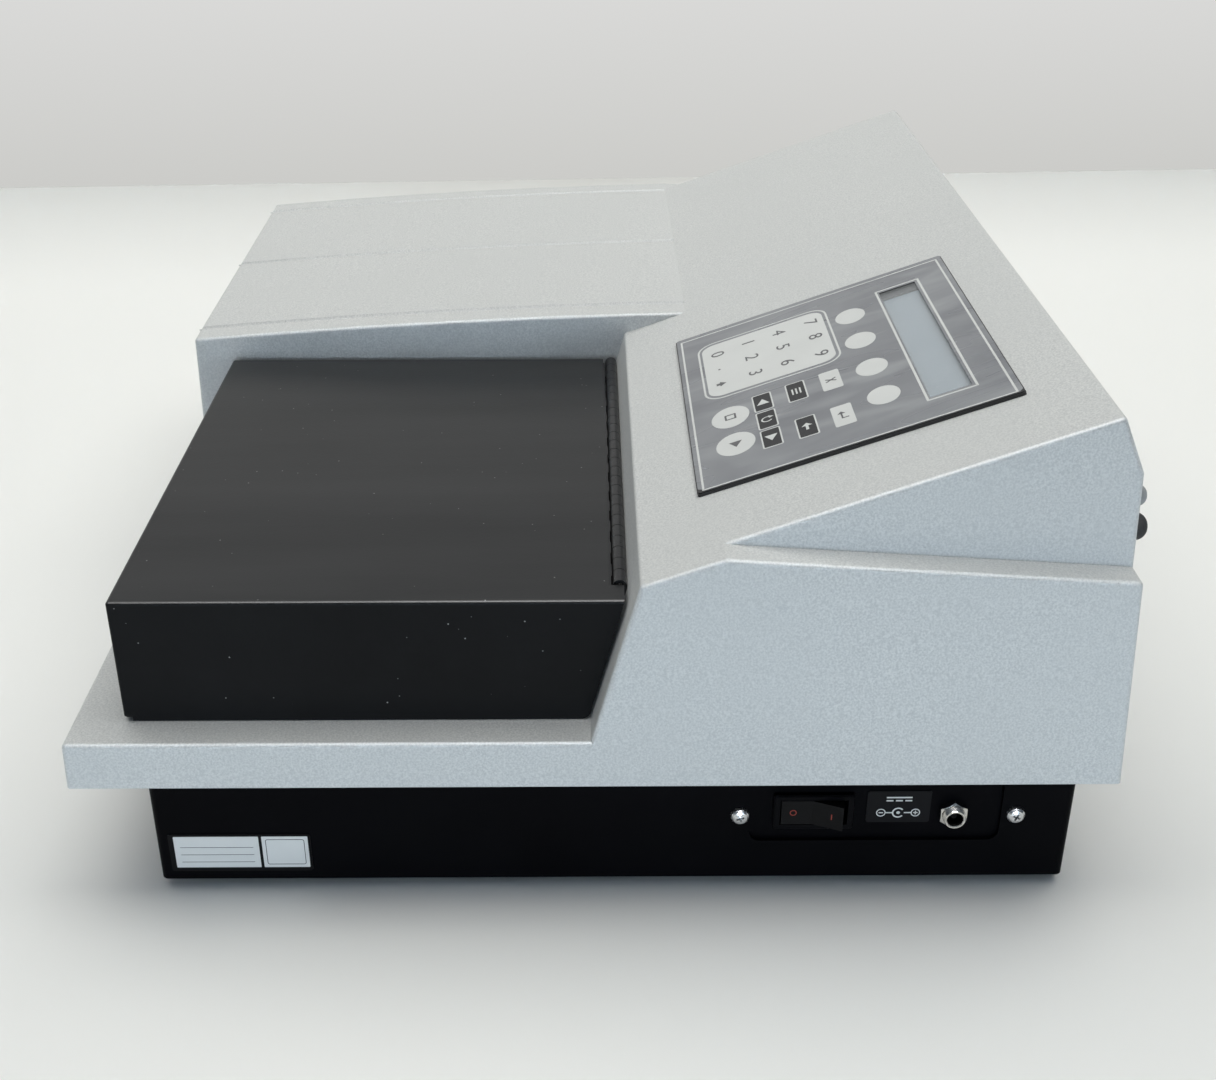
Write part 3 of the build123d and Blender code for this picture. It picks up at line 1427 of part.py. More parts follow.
with BuildPart() as lens_block:
    with BuildSketch(Plane.XY.offset(lens_block_bottom_z)):
        with Locations((optics_x, carrier_y)):
            Rectangle(lens_block_width, lens_block_length)
    extrude(amount=bridge_top_z - lens_block_bottom_z)
    with BuildSketch(Plane.XY.offset(bridge_top_z)):
        with Locations((optics_x, carrier_y)):
            Rectangle(lens_block_width + 2 * lens_flange, lens_block_length + 2 * lens_flange)
    extrude(amount=lens_flange_height)
    # mixing chamber, tapered to the filter's light
    with BuildSketch(Plane.XY.offset(bridge_top_z + lens_flange_height)):
        with Locations((optics_x, carrier_y)):
            Rectangle(lens_block_width, lens_block_length - lens_bore)
    with BuildSketch(Plane.XY.offset(chamber_top_z)):
        with Locations((optics_x, carrier_y)):
            Rectangle(lens_block_width, lens_block_width)
    loft()
    with BuildSketch(Plane.XY.offset(chamber_top_z)):
        with Locations((optics_x, carrier_y)):
            Circle(lens_bore)
    extrude(amount=-lens_flange_height, mode=Mode.SUBTRACT)
    with BuildSketch(Plane.XY.offset(lens_block_bottom_z)):
        with Locations(*channel_points):
            Circle(lens_bore / 2)
    extrude(amount=bridge_top_z - lens_block_bottom_z, mode=Mode.SUBTRACT)
lens_block.part.label = "lens_block"
export_step(lens_block.part, "parts/lens_block.step")

with BuildPart() as lenses:
    with BuildSketch(Plane.XY.offset(lens_block_bottom_z + lens_seat)):
        with Locations(*channel_points):
            Circle(lens_bore / 2 - press_gap)
    extrude(amount=lens_thickness)
lenses.part.label = "lenses"
export_step(lenses.part, "parts/lenses.step")

with BuildPart() as detector_board:
    with BuildSketch(Plane.XY.offset(detector_board_z)):
        with Locations((optics_x, carrier_y)):
            Rectangle(detector_board_width, detector_board_length)
        with Locations(*detector_posts):
            Circle(screw_diameter / 2, mode=Mode.SUBTRACT)
    extrude(amount=board_thickness)
detector_board.part.label = "detector_board"
export_step(detector_board.part, "parts/detector_board.step")

with BuildPart() as photodiodes:
    with BuildSketch(Plane.XY.offset(detector_board_z + board_thickness)):
        with Locations(*channel_points):
            Circle(photodiode_diameter / 2)
    extrude(amount=photodiode_height)
photodiodes.part.label = "photodiodes"
export_step(photodiodes.part, "parts/photodiodes.step")

with BuildPart() as filter_motor:
    with BuildSketch(Plane.XY.offset(bridge_top_z)):
        with Locations((filter_axis_x, carrier_y)):
            Circle(filter_motor_radius)
            Circle(spindle_diameter / 2 + running_gap, mode=Mode.SUBTRACT)
    extrude(amount=filter_motor_height)
filter_motor.part.label = "filter_motor"
export_step(filter_motor.part, "parts/filter_motor.step")

with BuildPart() as filter_wheel:
    with BuildSketch(Plane.XY.offset(wheel_bottom_z)):
        with Locations((filter_axis_x, carrier_y)):
            Circle(wheel_radius)
            with PolarLocations(filter_ring_radius, filter_count):
                Circle(filter_diameter / 2 + press_gap, mode=Mode.SUBTRACT)
    extrude(amount=wheel_thickness)
    with BuildSketch(Plane.XY.offset(wheel_bottom_z - wheel_gap)):
        with Locations((filter_axis_x, carrier_y)):
            Circle(wheel_hub_radius)
    extrude(amount=wheel_thickness + 2 * wheel_gap)
    with BuildSketch(Plane.XY.offset(bridge_top_z)):
        with Locations((filter_axis_x, carrier_y)):
            Circle(spindle_diameter / 2)
    extrude(amount=wheel_bottom_z - bridge_top_z)
filter_wheel.part.label = "filter_wheel"
export_step(filter_wheel.part, "parts/filter_wheel.step")

with BuildPart() as filter_glasses:
    with BuildSketch(Plane.XY.offset(wheel_bottom_z + (wheel_thickness - filter_thickness) / 2)):
        with Locations((filter_axis_x, carrier_y)):
            with PolarLocations(filter_ring_radius, filter_count):
                Circle(filter_diameter / 2)
    extrude(amount=filter_thickness)
filter_glasses.part.label = "filter_glasses"
export_step(filter_glasses.part, "parts/filter_glasses.step")

with BuildPart() as lamp_bracket:
    with BuildSketch(Plane.XZ.offset(-carrier_y - lamp_width / 2)):
        with BuildLine():
            Polyline(
                (lamp_bracket_x, lamp_bottom_z + lamp_height),
                (lamp_bracket_x, bridge_top_z),
                (bridge_right_x - bracket_sheet, bridge_top_z),
                (bridge_right_x - bracket_sheet, bridge_top_z + bracket_sheet),
                (lamp_bracket_x + bracket_sheet, bridge_top_z + bracket_sheet),
                (lamp_bracket_x + bracket_sheet, lamp_bottom_z + lamp_height),
                close=True,
            )
        make_face()
    extrude(amount=lamp_width)
lamp_bracket.part.label = "lamp_bracket"
export_step(lamp_bracket.part, "parts/lamp_bracket.step")

with BuildPart() as lamp_housing:
    with BuildSketch(Plane.XY.offset(lamp_bottom_z)):
        with Locations((lamp_bracket_x, carrier_y)):
            Rectangle(lamp_length, lamp_width, align=(Align.MAX, Align.CENTER))
    extrude(amount=lamp_height)
    with BuildSketch(Plane.XY.offset(lamp_bottom_z)):
        with Locations((optics_x, carrier_y)):
            Circle(lamp_bore / 2)
    extrude(amount=lamp_height - lamp_fin_depth - lamp_roof, mode=Mode.SUBTRACT)
    # cooling fins across the top
    with BuildSketch(Plane.XY.offset(lamp_bottom_z + lamp_height - lamp_fin_depth)):
        with Locations((lamp_bracket_x - lamp_length / 2, carrier_y)):
            with GridLocations(lamp_length / lamp_fin_count, 0, lamp_fin_count - 1, 1):
                Rectangle(lamp_fin_gap, lamp_width + lamp_fin_gap)
    extrude(amount=lamp_fin_depth, mode=Mode.SUBTRACT)
lamp_housing.part.label = "lamp_housing"
export_step(lamp_housing.part, "parts/lamp_housing.step")

bulb_top_z = lamp_bottom_z + lamp_height - lamp_fin_depth - lamp_roof
with BuildPart() as lamp_bulb:
    with BuildSketch(Plane.XZ.offset(-carrier_y)):
        with BuildLine():
            Polyline(
                (optics_x, bulb_top_z - bulb_length),
                (optics_x, bulb_top_z),
                (optics_x + bulb_diameter / 2, bulb_top_z),
                (optics_x + bulb_diameter / 2, bulb_top_z - bulb_length + bulb_diameter / 2),
            )
            RadiusArc(
                (optics_x + bulb_diameter / 2, bulb_top_z - bulb_length + bulb_diameter / 2),
                (optics_x, bulb_top_z - bulb_length),
                bulb_diameter / 2,
            )
        make_face()
    revolve(axis=Axis((optics_x, carrier_y, 0), (0, 0, 1)))
lamp_bulb.part.label = "lamp_bulb"
export_step(lamp_bulb.part, "parts/lamp_bulb.step")

# ---- circuit boards, rear ports and ribbons ----
boards = (
    ("main_board", main_board_x, main_board_width),
    ("power_board", power_board_x, power_board_width),
)
board_y = front_y + main_board_d
standoff_points = [
    (x + side * (width / 2 - standoff_inset), board_y + end * (main_board_length / 2 - standoff_inset))
    for _, x, width in boards
    for side in (-1, 1)
    for end in (-1, 1)
]
for name, board_x, width in boards:
    with BuildPart() as board:
        with BuildSketch(Plane.XY.offset(board_z)):
            with Locations((board_x, board_y)):
                Rectangle(width, main_board_length)
            with Locations(*standoff_points):
                Circle(screw_diameter / 2, mode=Mode.SUBTRACT)
        extrude(amount=board_thickness)
    board.part.label = name
    export_step(board.part, f"parts/{name}.step")

with BuildPart() as board_standoffs:
    with BuildSketch(Plane.XY.offset(tray_floor_z)):
        with Locations(*standoff_points):
            RegularPolygon(standoff_diameter / 2, 6)
    extrude(amount=board_z - tray_floor_z)
    with BuildSketch(Plane.XY.offset(tray_floor_z)):
        with Locations(*detector_posts):
            RegularPolygon(standoff_diameter / 2, 6)
    extrude(amount=detector_board_z - tray_floor_z)
board_standoffs.part.label = "board_standoffs"
export_step(board_standoffs.part, "parts/board_standoffs.step")

with BuildPart() as board_components:
    with BuildSketch(Plane.XY.offset(board_z + board_thickness)):
        # processor, memory, drivers and connectors
        for board_x, blocks in ((main_board_x, main_blocks), (power_board_x, power_blocks)):
            for x, y, width, length in blocks:
                with Locations((board_x + x, board_y + y)):
                    Rectangle(width, length)
    extrude(amount=component_height)
    with BuildSketch(Plane.XY.offset(board_z + board_thickness)):
        for board_x, cans in ((main_board_x, main_cans), (power_board_x, power_cans)):
            for x, y, radius in cans:
                with Locations((board_x + x, board_y + y)):
                    Circle(radius)
    extrude(amount=capacitor_height)
board_components.part.label = "board_components"
export_step(board_components.part, "parts/board_components.step")

tray_rear_face_y = front_y + tray_rear_d - tray_sheet
for name, port_x, shell, pitch in (
    ("serial_port", serial_x, serial_shell, serial_screw_pitch),
    ("parallel_port", parallel_x, parallel_shell, parallel_screw_pitch),
):
    with BuildPart() as port:
        with BuildSketch(Plane.XZ.offset(-tray_rear_face_y)):
            with Locations((port_x, port_z)):
                RectangleRounded(
                    pitch + 2 * port_flange_margin, port_flange_height, port_flange_corner
                )
            with Locations((port_x - pitch / 2, port_z), (port_x + pitch / 2, port_z)):
                Circle(screw_diameter / 2 + screw_clearance, mode=Mode.SUBTRACT)
        extrude(amount=port_flange)
        with BuildSketch(Plane.XZ.offset(-tray_rear_face_y + port_flange)):
            with Locations((port_x, port_z)):
                Rectangle(shell + 2 * port_rim, port_shell_height + 2 * port_rim)
        extrude(amount=port_block_depth)
        with BuildSketch(Plane.XZ.offset(-tray_rear_face_y)):
            with Locations((port_x, port_z)):
                RectangleRounded(shell, port_shell_height, port_shell_corner)
        extrude(amount=-port_shell_reach)
    port.part.label = name
    export_step(port.part, f"parts/{name}.step")

jackscrew_points = [
    (x + side * pitch / 2, port_z) for x, _, pitch in port_sizes for side in (-1, 1)
]
with BuildPart() as port_jackscrews:
    with BuildSketch(Plane.XZ.offset(-(tray_rear_face_y + tray_sheet))):
        with Locations(*jackscrew_points):
            RegularPolygon(jackscrew_flats / 2, 6, major_radius=False)
    extrude(amount=-jackscrew_reach)
    with BuildSketch(Plane.XZ.offset(-(tray_rear_face_y + tray_sheet))):
        with Locations(*jackscrew_points):
            Circle(screw_diameter / 2 - press_gap)
    extrude(amount=tray_sheet + jackscrew_end)
    with BuildSketch(Plane.XZ.offset(-(tray_rear_face_y + tray_sheet + jackscrew_reach))):
        with Locations(*jackscrew_points):
            Circle(jackscrew_bore / 2)
    extrude(amount=jackscrew_bore_depth, mode=Mode.SUBTRACT)
port_jackscrews.part.label = "port_jackscrews"
export_step(port_jackscrews.part, "parts/port_jackscrews.step")

# flat cables: each hangs in one upright strip with rounded bends at its ends
module_under = keypad_plane.from_local_coords(
    Vector(window_centre_x, window_centre_s, -module_board_top - module_board)
)
with BuildPart() as display_ribbon:
    with BuildSketch(Plane.YZ.offset(ribbon_x - ribbon_width / 2)):
        with BuildLine() as ribbon_line:
            FilletPolyline(
                (module_under.Y, module_under.Z - ribbon_thickness),
                (module_under.Y, module_under.Z - ribbon_drop),
                (board_y, board_z + board_thickness + ribbon_drop),
                (board_y, board_z + board_thickness + component_height),
                radius=ribbon_bend,
            )
        trace(ribbon_line.edges(), ribbon_thickness)
    extrude(amount=ribbon_width)
display_ribbon.part.label = "display_ribbon"
export_step(display_ribbon.part, "parts/display_ribbon.step")
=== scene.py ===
import bpy
import bmesh
import json
from math import asin, atan, cos, pi, radians, sin
from mathutils import Matrix, Vector


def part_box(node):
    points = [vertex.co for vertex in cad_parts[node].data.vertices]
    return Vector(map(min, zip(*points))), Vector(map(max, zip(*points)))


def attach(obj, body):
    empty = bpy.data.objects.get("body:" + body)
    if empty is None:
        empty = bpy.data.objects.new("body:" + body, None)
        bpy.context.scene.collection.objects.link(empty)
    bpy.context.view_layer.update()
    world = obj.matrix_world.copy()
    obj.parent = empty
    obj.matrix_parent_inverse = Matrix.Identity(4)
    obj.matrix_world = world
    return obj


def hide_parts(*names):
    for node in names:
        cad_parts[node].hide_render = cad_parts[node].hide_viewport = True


# Benchtop microplate reader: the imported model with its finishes, keypad print and small fittings.
# All sizes are in metres, +X the operator's right, +Y the rear, +Z up.

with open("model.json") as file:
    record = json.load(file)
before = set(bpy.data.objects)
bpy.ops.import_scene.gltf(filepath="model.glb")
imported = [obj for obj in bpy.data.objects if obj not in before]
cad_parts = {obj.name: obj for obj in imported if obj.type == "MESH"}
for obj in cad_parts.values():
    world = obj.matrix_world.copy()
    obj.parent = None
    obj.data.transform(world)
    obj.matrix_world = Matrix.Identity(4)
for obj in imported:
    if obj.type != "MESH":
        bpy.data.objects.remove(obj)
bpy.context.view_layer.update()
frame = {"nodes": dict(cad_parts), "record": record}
print("model loaded:", len(frame["nodes"]), "nodes")

scene = bpy.context.scene
scene.view_settings.view_transform = "Standard"
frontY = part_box("top_cover")[0].y          # front foot of the cover, where the keypad's distances start
mm = 0.001


# ---- camera ----
cameraView = {
    "place": (0.62157, frontY + 0.16964, 0.36129),
    "right": (0.00474724, 0.99998642, -0.00215079),
    "down": (0.46590470, -0.00411490, -0.88482534),
    "forward": (-0.88482217, 0.00319842, -0.46591791),
    "lens": 46.26,
    "shift": (0.01252, -0.01657),
}

cameraData = bpy.data.cameras.new("cameraStill")
cameraData.sensor_width = 36
cameraData.lens = cameraView["lens"]
cameraData.shift_x, cameraData.shift_y = cameraView["shift"]
cameraData.clip_start = 0.02
cameraData.clip_end = 20
camera = bpy.data.objects.new("cameraStill", cameraData)
turn = Matrix((cameraView["right"], [-c for c in cameraView["down"]], [-c for c in cameraView["forward"]]))
camera.matrix_world = Matrix.Translation(cameraView["place"]) @ turn.transposed().to_4x4()
scene.collection.objects.link(camera)
scene.camera = camera
print("camera placed")


# ---- shader helpers ----
class Wire:
    # a node socket that takes part in Python sums
    def __init__(self, finish, socket):
        self.finish, self.socket = finish, socket

    def __add__(self, other):
        return self.finish.sum("ADD", self, other)

    def __sub__(self, other):
        return self.finish.sum("SUBTRACT", self, other)

    def __rsub__(self, other):
        return self.finish.sum("SUBTRACT", other, self)

    def __mul__(self, other):
        return self.finish.sum("MULTIPLY", self, other)

    def __truediv__(self, other):
        return self.finish.sum("DIVIDE", self, other)

    def __gt__(self, other):
        return self.finish.sum("GREATER_THAN", self, other)

    def __lt__(self, other):
        return self.finish.sum("LESS_THAN", self, other)

    __radd__ = __add__
    __rmul__ = __mul__


class Finish:
    # one material, or the world, and the few ways its nodes are made
    def __init__(self, name, owner=bpy.data.materials):
        self.material = owner.new(name)
        self.material.use_nodes = True
        self.tree = self.material.node_tree
        self.tree.nodes.clear()

    def node(self, kind, settings=None, values=None, out=0):
        made = self.tree.nodes.new(kind)
        for key, value in (settings or {}).items():
            setattr(made, key, value)
        for key, value in (values or {}).items():
            if isinstance(value, Wire):
                self.tree.links.new(value.socket, made.inputs[key])
            else:
                made.inputs[key].default_value = value
        return Wire(self, made.outputs[out]) if made.outputs else None

    def sum(self, operation, a, b=0.0):
        return self.node("ShaderNodeMath", {"operation": operation}, {0: a, 1: b})

    def place(self, scale=(1, 1, 1), turn=(0, 0, 0), shift=(0, 0, 0)):
        # object coordinates, stretched, turned or moved by a Mapping node
        start = self.node("ShaderNodeTexCoord", out="Object")
        if (scale, turn, shift) == ((1, 1, 1), (0, 0, 0), (0, 0, 0)):
            return start
        return self.node("ShaderNodeMapping", None,
                         {"Vector": start, "Scale": scale, "Rotation": turn, "Location": shift})

    def axis(self, vector, letter):
        return self.node("ShaderNodeSeparateXYZ", None, {0: vector}, out=letter)

    def normal(self):
        return self.node("ShaderNodeTexCoord", out="Normal")

    def noise(self, size, detail=2.0, rough=0.5, place=None, twist=0.0):
        # grain whose lumps are about this many metres across, from 0 to 1
        values = {"Vector": place or self.place(), "Scale": 1 / size, "Detail": detail,
                  "Roughness": rough, "Distortion": twist}
        return self.node("ShaderNodeTexNoise", None, values)

    def specks(self, size):
        # distance to the nearest of many scattered points, in steps of their usual gap
        return self.node("ShaderNodeTexVoronoi", {"feature": "F1"}, {"Vector": self.place(), "Scale": 1 / size})

    def fade(self, value, low, high, start=0.0, end=1.0):
        # start below low, end above high and a ramp in between
        return self.node("ShaderNodeMapRange", {"clamp": True},
                         {"Value": value, "From Min": low, "From Max": high, "To Min": start, "To Max": end})

    def blend(self, factor, a, b):
        made = self.tree.nodes.new("ShaderNodeMix")
        made.data_type = "RGBA"
        for socket, value in ((made.inputs[0], factor), (made.inputs[6], a), (made.inputs[7], b)):
            if isinstance(value, Wire):
                self.tree.links.new(value.socket, socket)
            else:
                socket.default_value = (*value, 1) if isinstance(value, tuple) else value
        return Wire(self, made.outputs[2])

    def bump(self, height, strength, distance):
        return self.node("ShaderNodeBump", None, {"Height": height, "Strength": strength, "Distance": distance})

    def done(self, colour, rough, normal=None, metal=0.0, **rest):
        values = {"Base Color": (*colour, 1) if isinstance(colour, tuple) else colour,
                  "Roughness": rough, "Metallic": metal}
        if normal is not None:
            values["Normal"] = normal
        values.update({key.replace("_", " "): value for key, value in rest.items()})
        surface = self.node("ShaderNodeBsdfPrincipled", None, values)
        self.node("ShaderNodeOutputMaterial", None, {"Surface": surface})
        return self.material


# ---- floor, backdrop and light ----
stage = {
    "floorColour": (0.875, 0.872, 0.845),
    "wallColour": (0.70, 0.70, 0.69),
    # painted shade along the wall's foot, where it meets the bench
    "wallFootShade": (0.59, 0.59, 0.57),
    "wallLeft": (-0.663, frontY - 0.3195),
    "wallRight": (-0.709, frontY + 0.7127),
    "wallHeight": 0.62,
    "floorHalf": 3.0,
    "wallOverrun": 4,            # how far the wall runs on past both points
}


def benchLaminate():
    # pale matt worktop
    paint = Finish("benchLaminate")
    tone = paint.noise(0.4, 3)
    dull = tuple(c * 0.985 for c in stage["floorColour"])
    shade = paint.blend(paint.fade(tone, 0.3, 0.7), dull, stage["floorColour"])
    return paint.done(shade, 0.6, Specular_IOR_Level=0.15)


def wallPaint():
    # evenly lit wall, with painted shade that makes it a little darker towards its foot
    paint = Finish("wallPaint")
    high = paint.axis(paint.place(), "Z")
    shade = paint.blend(paint.fade(high, -0.02, 0.16), stage["wallFootShade"], stage["wallColour"])
    glow = paint.node("ShaderNodeEmission", None, {"Color": shade, "Strength": 1.0})
    matt = paint.node("ShaderNodeBsdfDiffuse", None, {"Color": shade})
    rays = [paint.node("ShaderNodeLightPath", out=f"Is {kind} Ray") for kind in ("Camera", "Glossy", "Transmission")]
    seen = (rays[0] + rays[1] + rays[2]) > 0.5
    mixed = paint.node("ShaderNodeMixShader", None, {0: seen, 1: matt, 2: glow})
    paint.node("ShaderNodeOutputMaterial", None, {"Surface": mixed})
    return paint.material


def buildStage():
    # the bench and the wall behind it
    bm = bmesh.new()
    bmesh.ops.create_grid(bm, x_segments=1, y_segments=1, size=stage["floorHalf"])
    floor = addPiece("benchTop", bm, benchLaminate())
    left, right = Vector((*stage["wallLeft"], 0)), Vector((*stage["wallRight"], 0))
    overrun = (right - left).normalized() * stage["wallOverrun"]
    bm = bmesh.new()
    foot = bm.edges.new([bm.verts.new(left - overrun), bm.verts.new(right + overrun)])
    lifted = bmesh.ops.extrude_edge_only(bm, edges=[foot])
    top = [v for v in lifted["geom"] if isinstance(v, bmesh.types.BMVert)]
    bmesh.ops.translate(bm, verts=top, vec=(0, 0, stage["wallHeight"]))
    wall = addPiece("roomWall", bm, wallPaint())


def addPiece(name, bm, material, smooth=False):
    # turns a finished bmesh into an object at the origin
    mesh = bpy.data.meshes.new(name)
    bm.to_mesh(mesh)
    bm.free()
    mesh.materials.append(material)
    if smooth:
        for face in mesh.polygons:
            face.use_smooth = True
    made = bpy.data.objects.new(name, mesh)
    scene.collection.objects.link(made)
    return made


lights = {
    "ceiling": {"place": (-0.30, 0.0, 1.88), "aim": (0, 0, 0), "size": (3.1, 1.7),
                "power": 42.5, "colour": (1.0, 0.985, 0.935)},
    "backWindow": {"place": (-1.7, 0.0, 0.75), "aim": (0, 0, 0.12), "size": (2.0, 0.5),
                   "power": 5, "colour": (0.95, 0.97, 1.0)},
    "benchGlow": {"place": (1.05, 0.05, 0.095), "aim": (0, 0.02, 0.08), "size": (1.6, 0.14),
                  "power": 0.75, "colour": (0.70, 0.85, 1.0), "spread": 40},      # kept narrow, off the near bench
    "edgeGlint": {"place": (0.75, 0.0, 1.7), "aim": (0, 0, 0.1), "size": (1.4, 0.7),
                  "power": 88, "colour": (1, 1, 1), "matt": False},               # only shows in rounded edges
    "farGlint": {"place": (-1.6, 0.0, 0.55), "aim": (0, 0, 0.12), "size": (2.2, 0.5),
                 "power": 26, "colour": (1, 1, 1), "matt": False},
}
sky = {
    "colour": (0.69, 0.83, 1.0, 1),
    "above": 0.24,               # strength from above and from the front and back of the view
    "ends": 0.105,               # strength from the two sides that the view runs across
    "turn": (0.25, 0.95),        # sideways share over which one passes into the other
}


def addLights():
    for name, facts in lights.items():
        lamp = bpy.data.lights.new(name, "AREA")
        lamp.shape = "RECTANGLE"
        lamp.size, lamp.size_y = facts["size"]
        lamp.energy = facts["power"]
        lamp.color = facts["colour"]
        lamp.spread = radians(facts.get("spread", 180))
        made = bpy.data.objects.new(name, lamp)
        made.location = facts["place"]
        aim = Vector(facts["aim"]) - Vector(facts["place"])
        made.rotation_euler = aim.to_track_quat("-Z", "Y").to_euler()
        made.visible_diffuse = facts.get("matt", True)
        scene.collection.objects.link(made)


def addSky():
    # pale blue surroundings, dimmer at the two sides
    air = Finish("studioWorld", bpy.data.worlds)
    scene.world = air.material
    sideways = air.sum("ABSOLUTE", air.axis(air.node("ShaderNodeTexCoord", out="Generated"), "Y"))
    strength = air.fade(sideways, *sky["turn"], sky["above"], sky["ends"])
    glow = air.node("ShaderNodeBackground", None, {"Color": sky["colour"], "Strength": strength})
    air.node("ShaderNodeOutputWorld", None, {"Surface": glow})


buildStage()
addLights()
addSky()
print("stage and lights set")


# ---- finishes of the carried-over nodes ----
coverFinish = {
    "grain": 0.0007, "dark": (0.485, 0.496, 0.492), "pale": (0.645, 0.652, 0.636),
    "cloud": (0.55, 0.56, 0.55), "speck": (0.30, 0.30, 0.30), "speckGap": 0.0035,
    "rough": (0.40, 0.54),
}


def paintedCover():
    # light grey textured paint with fine darker and paler grain and rare dark specks
    paint = Finish("coverPaint")
    fine = paint.noise(coverFinish["grain"], 2, 0.6)
    broad = paint.noise(0.05, 3)
    dot = paint.specks(coverFinish["speckGap"])
    grained = paint.blend(paint.fade(fine, 0.35, 0.65), coverFinish["dark"], coverFinish["pale"])
    toned = paint.blend(paint.fade(broad, 0.35, 0.65) * 0.35, grained, coverFinish["cloud"])
    rare = paint.fade(dot, 0.05, 0.09, 1.0, 0.0) * (paint.noise(0.004, 1) > 0.60)
    colour = paint.blend(rare * 0.55, toned, coverFinish["speck"])
    return paint.done(colour, paint.fade(fine, 0.3, 0.7, *coverFinish["rough"]), paint.bump(fine, 0.22, 0.0003),
                      Specular_IOR_Level=0.5)


lidFinish = {
    "dark": (0.0050, 0.0052, 0.0055), "pale": (0.0080, 0.0083, 0.0088),
    "dust": (0.50, 0.50, 0.48), "dustGap": 0.0052,
    "rough": (0.36, 0.44), "gloss": 0.08, "handled": 0.42, "wiped": 0.16,       # extra shine on the handled top
}


def powderCoat():
    # satin black powder coat with orange peel, settled dust and faint wipe marks
    paint = Finish("lidPowderCoat")
    peel = paint.noise(0.0011, 2, 0.5)
    cloud = paint.noise(0.07, 4, 0.6)
    wipe = paint.noise(0.03, 4, 0.65, paint.place((1, 0.12, 1), (0, 0, 0.5)))
    dot = paint.specks(lidFinish["dustGap"])
    dust = paint.fade(dot, 0.030, 0.060, 1.0, 0.0) * (paint.noise(0.006, 1) > 0.46)
    tone = paint.blend(paint.fade(cloud, 0.3, 0.7), lidFinish["dark"], lidFinish["pale"])
    colour = paint.blend(dust * 0.55, tone, lidFinish["dust"])
    rough = paint.fade(wipe, 0.3, 0.7, *lidFinish["rough"]) + dust * 0.3
    upward = paint.axis(paint.normal(), "Z")
    shine = (paint.fade(upward, 0.5, 0.9, 0.0, lidFinish["handled"])
             + paint.fade(wipe, 0.3, 0.7, 0.0, lidFinish["wiped"]) * (upward > 0.5))
    return paint.done(colour, rough, paint.bump(peel, 0.18, 0.0002), Specular_IOR_Level=lidFinish["gloss"],
                      Coat_Weight=shine, Coat_Roughness=0.40)


trayFinish = {"dark": (0.0011, 0.0012, 0.0019), "pale": (0.0018, 0.0019, 0.0028), "rubbed": (0.05, 0.05, 0.052),
              "rough": (0.36, 0.48), "gloss": 0.035}


def baseEnamel():
    # smooth black enamel on the folded tray, with a few rubbed spots
    paint = Finish("baseEnamel")
    peel = paint.noise(0.0016, 2)
    cloud = paint.noise(0.04, 4, 0.6)
    rub = paint.noise(0.012, 5, 0.7, paint.place((1, 0.3, 2.5)))
    tone = paint.blend(paint.fade(cloud, 0.3, 0.7), trayFinish["dark"], trayFinish["pale"])
    colour = paint.blend(paint.fade(rub, 0.70, 0.80) * 0.25, tone, trayFinish["rubbed"])
    return paint.done(colour, paint.fade(cloud, 0.3, 0.7, *trayFinish["rough"]), paint.bump(peel, 0.12, 0.0002),
                      Specular_IOR_Level=trayFinish["gloss"])


hingeFinish = {"black": (0.0028, 0.0028, 0.0034), "bright": (0.10, 0.10, 0.10), "rough": (0.26, 0.40)}


def hingeSteel():
    # blackened steel, rubbed bright in scattered patches
    metal = Finish("hingeSteel")
    grain = metal.noise(0.0012, 3, 0.6)
    wear = metal.noise(0.006, 5, 0.7)
    colour = metal.blend(metal.fade(wear, 0.66, 0.78), hingeFinish["black"], hingeFinish["bright"])
    rough = metal.fade(grain, 0.3, 0.7, *hingeFinish["rough"])
    return metal.done(colour, rough, metal.bump(grain, 0.15, 0.0002), metal=metal.fade(wear, 0.66, 0.78, 0.1, 0.8))


def turnedMetal(name, colour, rough=0.28, stretch=(1, 1, 1), spread=0.10, metallic=1.0):
    # bare metal with fine tool marks, drawn out along one axis
    metal = Finish(name)
    marks = metal.noise(0.0006, 3, 0.6, metal.place(stretch))
    stain = metal.noise(0.015, 4, 0.6)
    dark = tuple(c * 0.80 for c in colour)
    shade = metal.blend(metal.fade(stain, 0.3, 0.75), colour, dark)
    return metal.done(shade, metal.fade(marks, 0.3, 0.7, rough, rough + spread),
                      metal.bump(marks, 0.12, 0.0001), metal=metallic)


def mouldedPlastic(name, colour, rough=0.5, grainSize=0.0009, gloss=0.4, vary=0.12):
    # spark-eroded plastic with slight tone changes
    plastic = Finish(name)
    grain = plastic.noise(grainSize, 2, 0.55)
    cloud = plastic.noise(0.02, 3, 0.6)
    dark = tuple(c * (1 - vary) for c in colour)
    shade = plastic.blend(plastic.fade(cloud, 0.3, 0.7), dark, colour)
    return plastic.done(shade, plastic.fade(grain, 0.3, 0.7, rough - 0.05, rough + 0.07),
                        plastic.bump(grain, 0.14, 0.00015), Specular_IOR_Level=gloss)


def rubberBlack(name, colour=(0.014, 0.014, 0.015)):
    # black rubber with a pale bloom in patches
    rubber = Finish(name)
    grain = rubber.noise(0.0008, 3, 0.6)
    bloom = rubber.noise(0.008, 4, 0.65)
    shade = rubber.blend(rubber.fade(bloom, 0.45, 0.8) * 0.6, colour, tuple(c * 2.6 + 0.01 for c in colour))
    return rubber.done(shade, rubber.fade(grain, 0.3, 0.7, 0.62, 0.8), rubber.bump(grain, 0.25, 0.0002),
                       Specular_IOR_Level=0.3)


